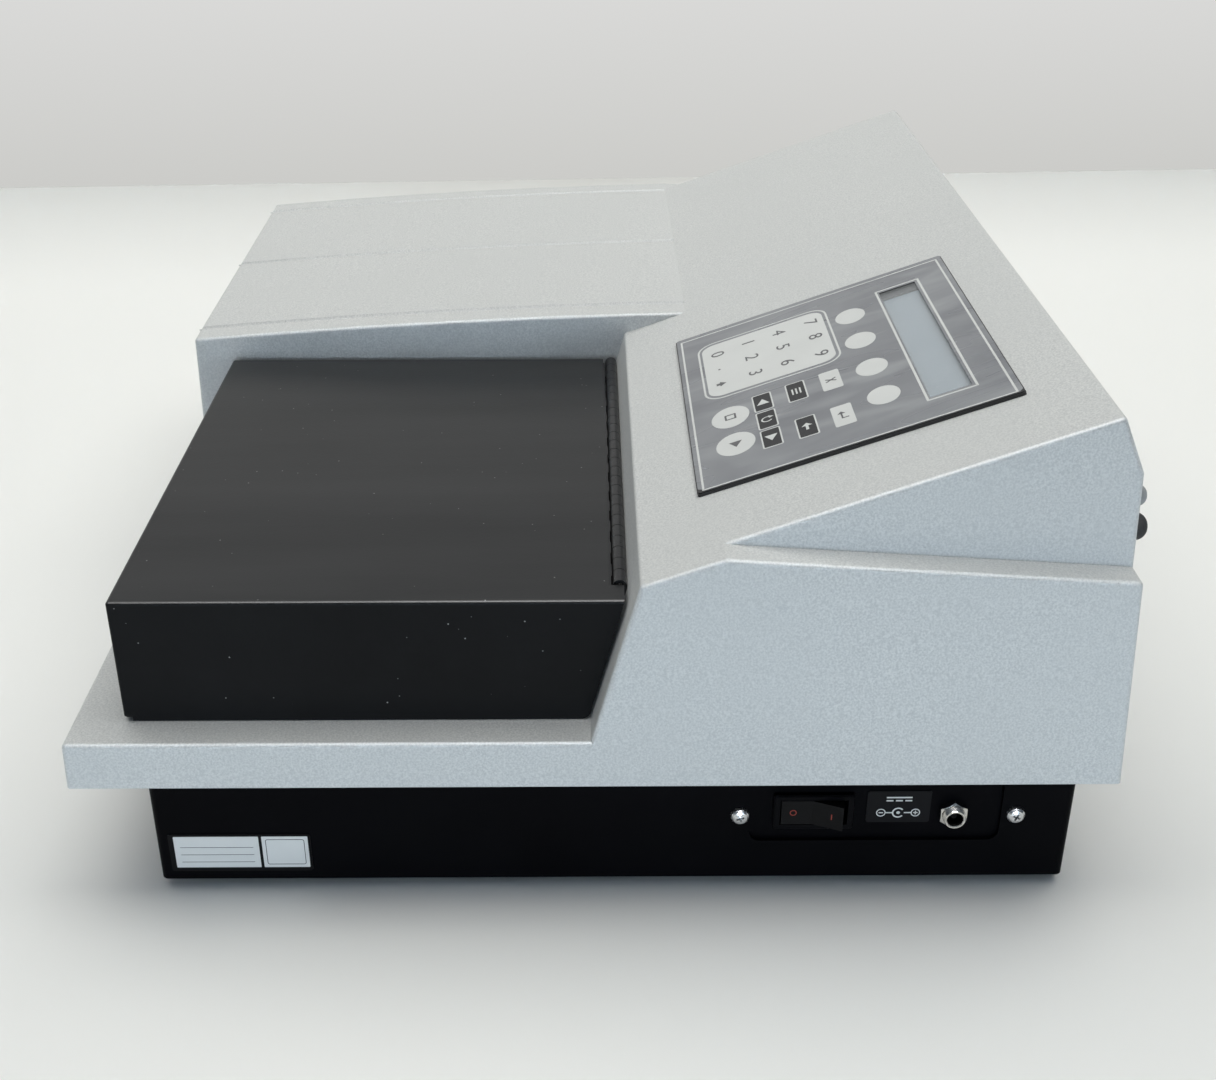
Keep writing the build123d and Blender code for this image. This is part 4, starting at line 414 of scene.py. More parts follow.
keypad = {
    "foot": 0.1857,              # console's front top edge, behind the cover's front
    "height": 0.1204,
    "slope": 0.351,              # rise for each unit towards the rear
    "face": 1.35 * mm,           # printed face above the console
    "haze": ((0.178, 0.184, 0.200), (0.262, 0.270, 0.284), (0.345, 0.355, 0.365), (0.50, 0.51, 0.52)),
    "black": (0.008, 0.008, 0.009),
    "rough": (0.24, 0.36),
    "filmEnd": 0.16120,          # where the film stops, across the slope
    "lowCorner": 0.1415,         # and the lines that cut its two right corners
    "highCorner": 0.2912,
    "ragged": 0.0014,
}
keypadLean = atan(keypad["slope"])
keypadPlace = (Matrix.Translation((0, frontY + keypad["foot"], keypad["height"]))
               @ Matrix.Rotation(keypadLean, 4, "X"))


def onSlope(finish):
    # distances across and up the console's slope and above its face, in metres
    foot = keypadPlace.inverted()
    flat = finish.place(turn=foot.to_euler(), shift=foot.translation)
    return [finish.axis(flat, letter) for letter in "XYZ"]


def keypadFilm():
    # black printed overlay under a hazy, softly wrinkled protective film that stops short of its right edge
    film = Finish("overlayFilm")
    across, up, height = onSlope(film)
    cloud = film.noise(0.030, 3, 0.5, film.place((1.0, 0.6, 0.6), (0, 0, 0.5)), 0.6)
    wave = film.noise(0.016, 2, 0.4, film.place((1.0, 0.30, 0.30), (0, 0, 0.9)), 0.9)
    crease = film.noise(0.024, 3, 0.5, film.place((1.0, 0.22, 0.22), (0, 0, -0.35)), 1.6)
    dull, hazy, waved, creased = keypad["haze"]
    grey = film.blend(film.fade(cloud, 0.30, 0.70), dull, hazy)
    grey = film.blend(film.fade(wave, 0.52, 0.74) * 0.6, grey, waved)
    grey = film.blend(film.fade(crease, 0.66, 0.74) * 0.45, grey, creased)
    ragged = (film.noise(0.007, 3) - 0.5) * keypad["ragged"]
    pastCorner = (across - up * 0.8 + ragged) > keypad["lowCorner"]
    bare = film.sum("MAXIMUM", (across + ragged) > keypad["filmEnd"], pastCorner)
    bare = film.sum("MAXIMUM", bare, (across + up + ragged) > keypad["highCorner"])
    facing = film.node("ShaderNodeVectorMath", {"operation": "DOT_PRODUCT"},
                       {0: film.normal(), 1: (0, -sin(keypadLean), cos(keypadLean))}, out="Value")
    colour = film.blend(film.sum("MAXIMUM", bare, facing < 0.9), grey, keypad["black"])
    return film.done(colour, film.fade(wave, 0.3, 0.7, *keypad["rough"]), film.bump(wave, 0.22, 0.0008),
                     Specular_IOR_Level=0.5)


display = {
    "centre": (0.09650, 0.11083),       # middle of the viewing area, across and up the slope
    "half": (0.0490, 0.0078),
    "glassLow": -0.0012,                # heights above the console's face
    "boardTop": -0.0064,
    "cellWidth": 0.00475,
    "glass": ((0.245, 0.305, 0.350), (0.290, 0.350, 0.395)),
    "cellEdge": (0.25, 0.30, 0.34),
    "dust": (0.66, 0.69, 0.70),
    "frame": (0.018, 0.019, 0.021),
    "board": (0.014, 0.100, 0.036),
}


def displayGlass():
    # unlit reflective display in a black metal frame on a green board: pale blue-grey glass whose two rows
    # of cells just show, with dust behind the window
    glass = Finish("displayModule")
    dust = glass.noise(0.0022, 4, 0.7)
    cloud = glass.noise(0.03, 3)
    across, up, height = onSlope(glass)
    middle, half = display["centre"], display["half"]
    sideways = glass.sum("ABSOLUTE", across - middle[0])
    upright = glass.sum("ABSOLUTE", up - middle[1])
    inView = (sideways < half[0]) * (upright < half[1]) * (height > display["glassLow"])
    cell = glass.sum("FRACT", across / display["cellWidth"])
    cells = glass.fade(cell, 0.0, 0.10, 1.0, 0.0) + glass.fade(upright, 0.0, 0.0004, 1.0, 0.0)
    pale = glass.blend(glass.fade(cloud, 0.3, 0.7), *display["glass"])
    pale = glass.blend(cells * 0.10, pale, display["cellEdge"])
    pale = glass.blend(glass.fade(dust, 0.64, 0.72) * 0.6, pale, display["dust"])
    around = glass.blend(height < display["boardTop"], display["frame"], display["board"])
    colour = glass.blend(inView, around, pale)
    return glass.done(colour, glass.fade(inView, 0, 1, 0.40, 0.22), glass.bump(dust, 0.05, 0.0001),
                      Specular_IOR_Level=0.4)


def clearGlass(name, tint, alpha):
    # see-through glass or acrylic, lightly smeared
    glass = Finish(name)
    smear = glass.noise(0.01, 4, 0.6)
    return glass.done(tint, glass.fade(smear, 0.3, 0.7, 0.05, 0.15),
                      glass.bump(smear, 0.02, 0.0001), Alpha=alpha, IOR=1.49)


def circuitBoard():
    # green solder resist over copper runs, with tinned pads
    board = Finish("circuitBoard")
    runs = board.node("ShaderNodeTexBrick", {"offset": 0.37},
                      {"Vector": board.place(), "Scale": 90.0, "Mortar Size": 0.035, "Brick Width": 0.9,
                       "Row Height": 0.22}, out="Fac")
    pads = board.fade(board.specks(0.0042), 0.10, 0.14, 1.0, 0.0)
    tone = board.blend(board.noise(0.02, 3), (0.010, 0.085, 0.030), (0.016, 0.120, 0.045))
    traced = board.blend(runs * 0.7, tone, (0.035, 0.190, 0.075))
    colour = board.blend(pads, traced, (0.55, 0.54, 0.50))
    return board.done(colour, 0.35, board.bump(runs, 0.15, 0.0001), metal=pads * 0.8)


def speckledPackages():
    # black epoxy of the chips and capacitors
    pack = Finish("chipPackages")
    grain = pack.noise(0.0006, 2)
    tone = pack.blend(pack.fade(pack.noise(0.01, 3), 0.3, 0.7), (0.012, 0.012, 0.013), (0.022, 0.022, 0.023))
    return pack.done(tone, pack.fade(grain, 0.3, 0.7, 0.45, 0.62), pack.bump(grain, 0.2, 0.0001))


ribbonPitch = 0.00127            # between two cores of the display's cable


def flatCable():
    # grey ribbon whose cores run down its length, with painted shade in the grooves between them
    cable = Finish("flatCable")
    core = cable.sum("SINE", cable.axis(cable.place(), "X") * (2 * pi / ribbonPitch))
    # painted shade: the grey darkens in the grooves between cores and pales on their crests
    colour = cable.blend(cable.fade(core, -1, 1), (0.33, 0.33, 0.32), (0.50, 0.50, 0.485))
    return cable.done(colour, 0.5, cable.bump(core, 0.5, 0.0003))


def bareLabel(name, colour):
    # dull printed film
    film = Finish(name)
    grain = film.noise(0.002, 3)
    tone = film.blend(film.fade(grain, 0.3, 0.7), tuple(c * 0.9 for c in colour), colour)
    return film.done(tone, film.fade(grain, 0.3, 0.7, 0.30, 0.40), film.bump(grain, 0.05, 0.0001),
                     Specular_IOR_Level=0.12)


coated = {
    "cover_plastic": paintedCover(),
    "black_coat": powderCoat(),
    "black_steel": baseEnamel(),
    "hinge_black": hingeSteel(),
    "bright_steel": turnedMetal("groundSteel", (0.66, 0.66, 0.65), 0.22, (0.05, 1, 1)),
    "zinc_screw": turnedMetal("zincScrew", (0.70, 0.71, 0.72), 0.20),
    "nickel": turnedMetal("nickelPlate", (0.72, 0.70, 0.66), 0.14),
    "foot_rubber": rubberBlack("footRubber"),
    "bumper_rubber": rubberBlack("bumperRubber", (0.022, 0.022, 0.023)),
    "plug_plastic": mouldedPlastic("plugPlastic", (0.30, 0.31, 0.31), 0.45),
    "black_plastic": mouldedPlastic("switchPlastic", (0.0018, 0.0018, 0.0026), 0.42, gloss=0.05),
    "rocker_plastic": mouldedPlastic("rockerPlastic", (0.0030, 0.0030, 0.0034), 0.34, gloss=0.12),
    "plate_film": bareLabel("plateFilm", (0.0040, 0.0042, 0.0055)),
    "label_film": bareLabel("labelFilm", (0.0022, 0.0022, 0.0030)),
    "backer_film": mouldedPlastic("backerFilm", (0.010, 0.010, 0.011), 0.45),
    "overlay_film": keypadFilm(),
    "window_clear": clearGlass("windowClear", (0.85, 0.88, 0.90), 0.16),
    "lcd_module": displayGlass(),
    "ribbon_grey": flatCable(),
    "bracket_aluminium": turnedMetal("bracketAluminium", (0.62, 0.63, 0.64), 0.34, (0.08, 1, 1)),
    "carrier_plastic": mouldedPlastic("carrierPlastic", (0.018, 0.018, 0.020), 0.48),
    "bushing_bronze": turnedMetal("bushingBronze", (0.46, 0.31, 0.15), 0.32),
    "belt_rubber": rubberBlack("beltRubber", (0.020, 0.020, 0.021)),
    "clip_plastic": mouldedPlastic("clipPlastic", (0.62, 0.62, 0.58), 0.40),
    "motor_black": turnedMetal("motorCase", (0.030, 0.030, 0.032), 0.35, (1, 1, 1), 0.12, 0.4),
    "pulley_aluminium": turnedMetal("pulleyAluminium", (0.64, 0.65, 0.66), 0.24),
    "anodised_black": turnedMetal("anodisedBlack", (0.022, 0.022, 0.025), 0.30, (1, 1, 1), 0.12, 0.6),
    "lens_glass": clearGlass("lensGlass", (0.85, 0.93, 0.95), 0.30),
    "filter_glass": clearGlass("filterGlass", (0.30, 0.16, 0.42), 0.70),
    "bulb_glass": clearGlass("bulbGlass", (0.92, 0.92, 0.88), 0.35),
    "lamp_aluminium": turnedMetal("lampAluminium", (0.50, 0.51, 0.52), 0.40),
    "board_green": circuitBoard(),
    "diode_dark": mouldedPlastic("diodeEpoxy", (0.012, 0.012, 0.020), 0.22),
    "standoff_steel": turnedMetal("standoffSteel", (0.60, 0.60, 0.58), 0.30),
    "component_black": speckledPackages(),
    "port_shell": turnedMetal("portShell", (0.60, 0.60, 0.58), 0.30),
}
slotOf = {piece["node"]: piece["material_slot"] for piece in frame["record"]["subparts"]}
for name, node in frame["nodes"].items():
    node.data.materials.clear()
    node.data.materials.append(coated[slotOf[name]])
print("finishes on every node")


# ---- keypad print ----
def printInk(name, colour, rough):
    # screen-printed ink, nearly even in tone
    return mouldedPlastic(name, colour, rough, 0.0005, 0.35, 0.05)


whiteInk = printInk("whiteInk", (0.66, 0.67, 0.655), 0.42)
greyInk = printInk("greyInk", (0.12, 0.12, 0.125), 0.45)
blackInk = printInk("blackInk", (0.018, 0.018, 0.020), 0.40)
redInk = printInk("redInk", (0.28, 0.035, 0.020), 0.45)
labelWhite = printInk("labelWhite", (0.70, 0.705, 0.69), 0.38)


def addPlate(bm, x, y, width, height, corner=0.0, low=0.0, thick=0.05, line=0.0):
    # rounded plate, or a rounded frame when line is its width; every size in millimetres
    made = bmesh.ops.create_grid(bm, x_segments=1, y_segments=1, size=0.5)
    verts = made["verts"]
    bmesh.ops.scale(bm, vec=(width, height, 1), verts=verts)
    bmesh.ops.translate(bm, vec=(x, y, low), verts=verts)
    face = verts[0].link_faces[0]
    if corner:
        cut = bmesh.ops.bevel(bm, geom=verts, offset=corner, offset_type="OFFSET", affect="VERTICES",
                              segments=6, profile=0.5, material=-1)
        face = max({f for v in cut["verts"] for f in v.link_faces}, key=lambda f: f.calc_area())
    kept = [face]
    if line:
        ring = bmesh.ops.inset_region(bm, faces=[face], thickness=line, use_even_offset=True,
                                      use_boundary=True)
        bmesh.ops.delete(bm, geom=[face], context="FACES")
        kept = ring["faces"]
    thicken(bm, kept, thick)


def addOval(bm, x, y, width, height, low=0.0, thick=0.05, steps=40):
    # flat oval layer round a point
    made = bmesh.ops.create_circle(bm, cap_ends=True, segments=steps, radius=0.5)
    bmesh.ops.scale(bm, vec=(width, height, 1), verts=made["verts"])
    bmesh.ops.translate(bm, vec=(x, y, low), verts=made["verts"])
    thicken(bm, [made["verts"][0].link_faces[0]], thick)


def addOutline(bm, x, y, corners, low=0.0, thick=0.05):
    # flat shape through corners that are given in order, from its own middle
    verts = [bm.verts.new((x + across, y + up, low)) for across, up in corners]
    thicken(bm, [bm.faces.new(verts)], thick)


def thicken(bm, faces, thick):
    # turns flat faces into a closed layer that stands on them
    grown = bmesh.ops.extrude_face_region(bm, geom=faces, use_keep_orig=True)
    lifted = [v for v in grown["geom"] if isinstance(v, bmesh.types.BMVert)]
    bmesh.ops.translate(bm, vec=(0, 0, thick), verts=lifted)


def addRing(bm, x, y, radius, line, low=0.0, thick=0.05, start=0.0, sweep=2 * pi, steps=32):
    # arc of a flat ring, spun from a short edge
    full = abs(sweep - 2 * pi) < 0.001
    ends = [bm.verts.new((x + reach * cos(start), y + reach * sin(start), low)) for reach in (radius - line, radius)]
    edge = bm.edges.new(ends)
    before = set(bm.faces)
    bmesh.ops.spin(bm, geom=ends + [edge], cent=(x, y, low), axis=(0, 0, 1), angle=sweep, steps=steps,
                   use_merge=full)
    thicken(bm, [f for f in bm.faces if f not in before], thick)


figureShare = 0.72               # height of a figure over its font's size


def addText(bm, body, x, y, height, low=0.0, thick=0.05, broad=1.0):
    # upright figures of this height, centred on a point, in millimetres
    curve = bpy.data.curves.new("figure", "FONT")
    curve.body = body
    curve.size = height / figureShare
    curve.align_x, curve.align_y = "CENTER", "CENTER"
    curve.extrude = thick / 2
    holder = bpy.data.objects.new("figure", curve)
    scene.collection.objects.link(holder)
    bpy.context.view_layer.update()
    mesh = bpy.data.meshes.new_from_object(holder.evaluated_get(bpy.context.evaluated_depsgraph_get()))
    mesh.transform(Matrix.Translation((x, y, low + thick / 2)) @ Matrix.Diagonal((broad, 1, 1, 1)))
    bm.from_mesh(mesh)
    bpy.data.objects.remove(holder)
    bpy.data.meshes.remove(mesh)


def printPiece(name, bm, ink, place, body="housing"):
    # closes a print layer drawn in millimetres and lays it on its surface
    bmesh.ops.remove_doubles(bm, verts=bm.verts, dist=0.0005)
    bmesh.ops.recalc_face_normals(bm, faces=bm.faces)
    bmesh.ops.transform(bm, matrix=place @ Matrix.Scale(mm, 4), verts=bm.verts)
    made = addPiece(name, bm, ink)
    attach(made, body)


keyPrint = {
    "border": (94.8, 76.65, 133.0, 106.1, 0.4),       # x, y, width, height, corner in millimetres up the slope
    "display": (94.8, 111.0, 106.4, 17.5, 0.4),
    "panelEdge": (66.3, 55.9, 54.6, 52.4, 7.2),
    "panel": (66.3, 55.8, 49.8, 48.8, 5.4),
    "lines": {"border": 0.75, "display": 0.85, "panelEdge": 0.75},
    "ovals": [(57.0, 90.1), (82.1, 90.1), (108.0, 90.1), (133.0, 90.1)],
    "ovalSize": (14.0, 11.5),
    "rounds": [(112.0, 37.5), (134.5, 37.5)],
    "roundSize": (16.9, 14.0),
    "paleKeys": [(108.0, 75.1), (138.4, 75.1)],
    "paleSize": (15.8, 7.3, 0.8),
    "darkKeys": [(108.2, 62.4), (138.4, 62.4)],
    "darkSize": (15.6, 7.3, 0.8),
    "darkFace": (14.5, 6.2, 0.5),
    "arrowKeys": [(108.1, 49.9), (123.2, 49.9), (138.3, 49.9)],
    "arrowSize": (14.0, 7.3, 0.8),
    "arrowFace": (12.9, 6.2, 0.5),
    "digits": {"7": (50.2, 75.0), "8": (65.2, 75.0), "9": (82.4, 75.0), "4": (50.2, 62.2), "5": (65.2, 62.2),
               "6": (80.6, 62.2), "1": (50.2, 49.8), "2": (65.4, 49.8), "3": (80.6, 49.8), "0": (52.0, 37.2)},
    "digitHeight": 5.4,
    "digitBroad": 1.3,
    "point": (67.2, 37.0), "pointSize": 1.0,
    "shift": (81.0, 36.2),
    "layer": 0.05,               # thickness of the white and black layers
    "sign": 0.04,                # and of the figures and signs on top of them
}
keySigns = {
    # corners in millimetres from the middle of their key
    "shift": [(-2.0, 0), (0, 2.4), (2.0, 0), (0.9, 0), (0.9, -1.4), (-0.9, -1.4), (-0.9, 0)],
    "run": [(-1.7, -2.3), (2.5, 0), (-1.7, 2.3)],
    "cross": [(-1.5, -1.7), (-1.0, -2.05), (1.5, 1.7), (1.0, 2.05)],
    "enter": [(-2.9, -0.5), (-1.2, 0.9), (-1.2, -0.2), (1.9, -0.2), (1.9, 1.8), (2.5, 1.8), (2.5, -0.8),
              (-1.2, -0.8), (-1.2, -1.9)],
    "back": [(-2.6, 0), (-0.4, 1.9), (-0.4, 0.5), (2.6, 0.5), (2.6, -0.5), (-0.4, -0.5), (-0.4, -1.9)],
    "left": [(-2.3, 0), (2.0, -2.3), (2.0, 2.3)],
    "right": [(2.3, 0), (-2.0, 2.3), (-2.0, -2.3)],
    "turnTip": [(-2.5, 0.6), (-0.5, 0.9), (-1.4, 2.5)],
    "turnRing": (2.1, 0.55),                      # radius and line
    "turnArc": (130, 290),                        # start and sweep in degrees
    "stop": (4.2, 4.2, 0.3),                      # width, height and corner
    "stopLine": 0.7,
    "bar": (4.6, 0.6),
    "barSteps": (-1.4, 0, 1.4),
}


def buildKeypadPrint():
    place = keypadPlace @ Matrix.Translation((0, 0, keypad["face"]))
    layer, sign = keyPrint["layer"], keyPrint["sign"]
    # white line work, panel, ovals and pale keys
    bm = bmesh.new()
    for name, line in keyPrint["lines"].items():
        addPlate(bm, *keyPrint[name], 0, layer, line)
    addPlate(bm, *keyPrint["panel"], 0, layer)
    for kind in ("oval", "round"):
        for x, y in keyPrint[kind + "s"]:
            addOval(bm, x, y, *keyPrint[kind + "Size"], 0, layer)
    for kind in ("pale", "dark", "arrow"):
        for x, y in keyPrint[kind + "Keys"]:
            addPlate(bm, x, y, *keyPrint[kind + "Size"], 0, layer)
    printPiece("keypadWhitePrint", bm, whiteInk, place)
    # black faces of the dark keys
    bm = bmesh.new()
    for kind in ("dark", "arrow"):
        for x, y in keyPrint[kind + "Keys"]:
            addPlate(bm, x, y, *keyPrint[kind + "Face"], layer, layer)
    printPiece("keypadBlackPrint", bm, blackInk, place)
    # grey figures and signs on white: digits, point, arrow up, square, triangle, cross and return arrow
    bm = bmesh.new()
    for body, (x, y) in keyPrint["digits"].items():
        addText(bm, body, x, y, keyPrint["digitHeight"], layer, sign, keyPrint["digitBroad"])
    addOval(bm, *keyPrint["point"], keyPrint["pointSize"], keyPrint["pointSize"], layer, sign, 16)
    addOutline(bm, *keyPrint["shift"], keySigns["shift"], layer, sign)
    stopKey, runKey = keyPrint["rounds"]
    addPlate(bm, *stopKey, *keySigns["stop"], layer, sign, keySigns["stopLine"])
    addOutline(bm, *runKey, keySigns["run"], layer, sign)
    clearKey, enterKey = keyPrint["paleKeys"]
    for lean in (-1, 1):
        addOutline(bm, *clearKey, [(x * lean, y) for x, y in keySigns["cross"]], layer, sign)
    addOutline(bm, *enterKey, keySigns["enter"], layer, sign)
    printPiece("keypadGreyPrint", bm, greyInk, place)
    # white signs on the dark keys: bars, back arrow, triangles and a turning arrow
    bm = bmesh.new()
    menuKey, backKey = keyPrint["darkKeys"]
    for step in keySigns["barSteps"]:
        addPlate(bm, menuKey[0], menuKey[1] + step, *keySigns["bar"], 0, 2 * layer, sign)
    leftKey, turnKey, rightKey = keyPrint["arrowKeys"]
    addOutline(bm, *backKey, keySigns["back"], 2 * layer, sign)
    addOutline(bm, *leftKey, keySigns["left"], 2 * layer, sign)
    addOutline(bm, *rightKey, keySigns["right"], 2 * layer, sign)
    start, sweep = [radians(angle) for angle in keySigns["turnArc"]]
    addRing(bm, *turnKey, *keySigns["turnRing"], 2 * layer, sign, start, sweep, 28)
    addOutline(bm, *turnKey, keySigns["turnTip"], 2 * layer, sign)
    printPiece("keypadPaleSigns", bm, whiteInk, place)


buildKeypadPrint()
print("keypad print laid")


# ---- small fittings ----
def carve(bm, cutter, operation="DIFFERENCE"):
    # cuts one closed bmesh by another and returns the result as a new bmesh
    pair = []
    for part in (bm, cutter):
        mesh = bpy.data.meshes.new("carving")
        bmesh.ops.recalc_face_normals(part, faces=part.faces)
        part.to_mesh(mesh)
        part.free()
        holder = bpy.data.objects.new("carving", mesh)
        scene.collection.objects.link(holder)
        pair.append(holder)
    cut = pair[0].modifiers.new("cut", "BOOLEAN")
    cut.operation, cut.solver, cut.object = operation, "EXACT", pair[1]
    bpy.context.view_layer.update()
    result = bmesh.new()
    result.from_mesh(pair[0].evaluated_get(bpy.context.evaluated_depsgraph_get()).to_mesh())
    for holder in pair:
        bpy.data.objects.remove(holder)
    bmesh.ops.remove_doubles(result, verts=result.verts, dist=0.0001)
    return result


def turned(profile, steps=40):
    # closed solid turned about the Z axis from (radius, height) corners that start and end on the axis
    bm = bmesh.new()
    verts = [bm.verts.new((radius, 0, height)) for radius, height in profile]
    edges = [bm.edges.new(pair) for pair in zip(verts, verts[1:])]
    bmesh.ops.spin(bm, geom=verts + edges, cent=(0, 0, 0), axis=(0, 0, 1), angle=2 * pi, steps=steps, use_merge=True)
    bmesh.ops.remove_doubles(bm, verts=bm.verts, dist=0.0001)
    return bm


def crossRecess(head, depth, reach, width, top):
    # cuts the tapered cross that a screwdriver fits into a head, one wedge after the other
    for lean in (0, pi / 2):
        bm = bmesh.new()
        verts = bmesh.ops.create_cube(bm, size=1.0)["verts"]
        bmesh.ops.scale(bm, vec=(2 * reach, width, 2 * depth), verts=verts)
        low = [v for v in verts if v.co.z < 0]
        bmesh.ops.scale(bm, vec=(0.42, 0.7, 1), verts=low)
        bmesh.ops.rotate(bm, cent=(0, 0, 0), matrix=Matrix.Rotation(lean, 3, "Z"), verts=verts)
        bmesh.ops.translate(bm, vec=(0, 0, top), verts=verts)
        head = carve(head, bm)
    return head


def settle(bm, places):
    # copies a fitting drawn in millimetres to each of its places
    whole = bmesh.new()
    for place in places:
        copy = bm.copy()
        bmesh.ops.transform(copy, matrix=place @ Matrix.Scale(mm, 4), verts=copy.verts)
        mesh = bpy.data.meshes.new("copy")
        copy.to_mesh(mesh)
        whole.from_mesh(mesh)
        copy.free()
        bpy.data.meshes.remove(mesh)
    bm.free()
    bmesh.ops.recalc_face_normals(whole, faces=whole.faces)
    return whole


def addFitting(name, bm, places, slot, replaced=None):
    # a small metal part on the housing, in the finish of its slot
    made = addPiece(name, settle(bm, places), coated[slot])
    if replaced:
        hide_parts(replaced)
    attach(made, "housing")


sideOut = Matrix(((0, 0, 1, 0), (1, 0, 0, 0), (0, 1, 0, 0), (0, 0, 0, 1)))     # drawing plane turned to face +X
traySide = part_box("chassis_tray")[1].x
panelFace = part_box("power_panel")[1].x

coverEdge = {
    "centre": (97.1264, -2947.7706), "radius": 3077.8163,     # arc of the hump's top, in millimetres from the side
    "wall": -7.4, "round": 1.6, "proud": 0.03, "under": 0.3,  # the hump's right wall and its rounded edge
    "span": (2.4, 210.0),                                     # ends of that edge, from the cover's front
    "grooves": (-21.7, -109.0, -195.8), "rim": 2.4,           # groove middles and their half width
    "bead": (-0.08, 0.92), "crown": 0.12, "sunk": 0.25,
    "beadSpan": (1.2, 211.0),
    "sharp": 20,                                              # degrees from which an edge isn't smoothed
}


def sweepAlong(profile, start, end, steps=64):
    # closed profile of (across, height over the arc's centre) corners carried along the hump's arched top
    y, z = coverEdge["centre"]
    first, last = [asin((frontY / mm + along - y) / coverEdge["radius"]) for along in (start, end)]
    bm = bmesh.new()
    verts = [bm.verts.new((x, y + reach * sin(first), z + reach * cos(first))) for x, reach in profile]
    edges = [bm.edges.new(pair) for pair in zip(verts, verts[1:] + verts[:1])]
    bmesh.ops.spin(bm, geom=verts + edges, cent=(0, y, z), axis=(-1, 0, 0), angle=last - first, steps=steps)
    bmesh.ops.holes_fill(bm, edges=[e for e in bm.edges if e.is_boundary])
    bmesh.ops.recalc_face_normals(bm, faces=bm.faces)
    bm.normal_update()
    for edge in bm.edges:
        edge.smooth = edge.calc_face_angle(0) < radians(coverEdge["sharp"])
    return bm


def buildCoverEdges():
    # the painted hump's rounded right edge, and the soft near rims of its three grooves
    radius, curve = coverEdge["radius"], coverEdge["round"]
    middle = (coverEdge["wall"] - curve, radius - curve)
    turns = [radians(90 - 10 * i) for i in range(10)]
    outer, inner = [[(middle[0] + reach * cos(t), middle[1] + reach * sin(t)) for t in turns]
                    for reach in (curve + coverEdge["proud"], curve - coverEdge["under"])]
    strips = [("humpEdgeRound", outer + inner[::-1], *coverEdge["span"])]
    for number, groove in enumerate(coverEdge["grooves"]):
        near, far = [groove + coverEdge["rim"] + side for side in coverEdge["bead"]]
        crest = [(near + (far - near) * t, radius + coverEdge["crown"] * 4 * t * (1 - t))
                 for t in [i / 8 for i in range(9)]]
        foot = [(far, radius - coverEdge["sunk"]), (near + 0.3, radius - coverEdge["sunk"])]
        strips.append((f"grooveRim{number + 1}", crest + foot, *coverEdge["beadSpan"]))
    for name, profile, start, end in strips:
        bm = sweepAlong(profile, start, end)
        bmesh.ops.scale(bm, vec=(mm, mm, mm), verts=bm.verts)
        strip = addPiece(name, bm, coated["cover_plastic"], smooth=True)
        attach(strip, "housing")


panelScrew = {
    "along": (0.2202, 0.3126), "height": 0.0296,      # from the cover's front, and above the bench
    "turns": (18, -24),                               # how each cross happens to stand, in degrees
    "profile": [(0, -6), (1.5, -6), (1.5, 0), (3.2, 0), (3.2, 0.45), (2.95, 1.15), (2.35, 1.75), (1.4, 2.1),
                (0, 2.2)],                            # half section of the screw, (radius, height) in millimetres
    "recess": (1.6, 1.95, 0.85, 2.2),                 # depth, reach, width and top of the cross
}


def buildPanelScrews():
    head = crossRecess(turned(panelScrew["profile"]), *panelScrew["recess"])
    places = []
    for along, turn in zip(panelScrew["along"], panelScrew["turns"]):
        spot = Matrix.Translation((traySide, frontY + along, panelScrew["height"]))
        places.append(spot @ sideOut @ Matrix.Rotation(radians(turn), 4, "Z"))
    addFitting("zincPanHeadScrews", head, places, "zinc_screw", "panel_screws")


jack = {
    "middle": 0.2918, "height": 0.0296,
    "across": 8.8, "thick": 2.6, "bevel": (0.15, 0.55),       # nut: across its flats, and how its corners are turned
    "barrel": 3.5, "bore": 2.8, "reach": 4.6,
    "lead": 0.35,                                             # chamfer of the nut's hole
    "threadPitch": 0.5,
    "ridge": [(0.20, 0.12), (0.20, 0.20), (0.02, 0.38), (0.02, 0.46)],      # one turn, out from the barrel and up
}


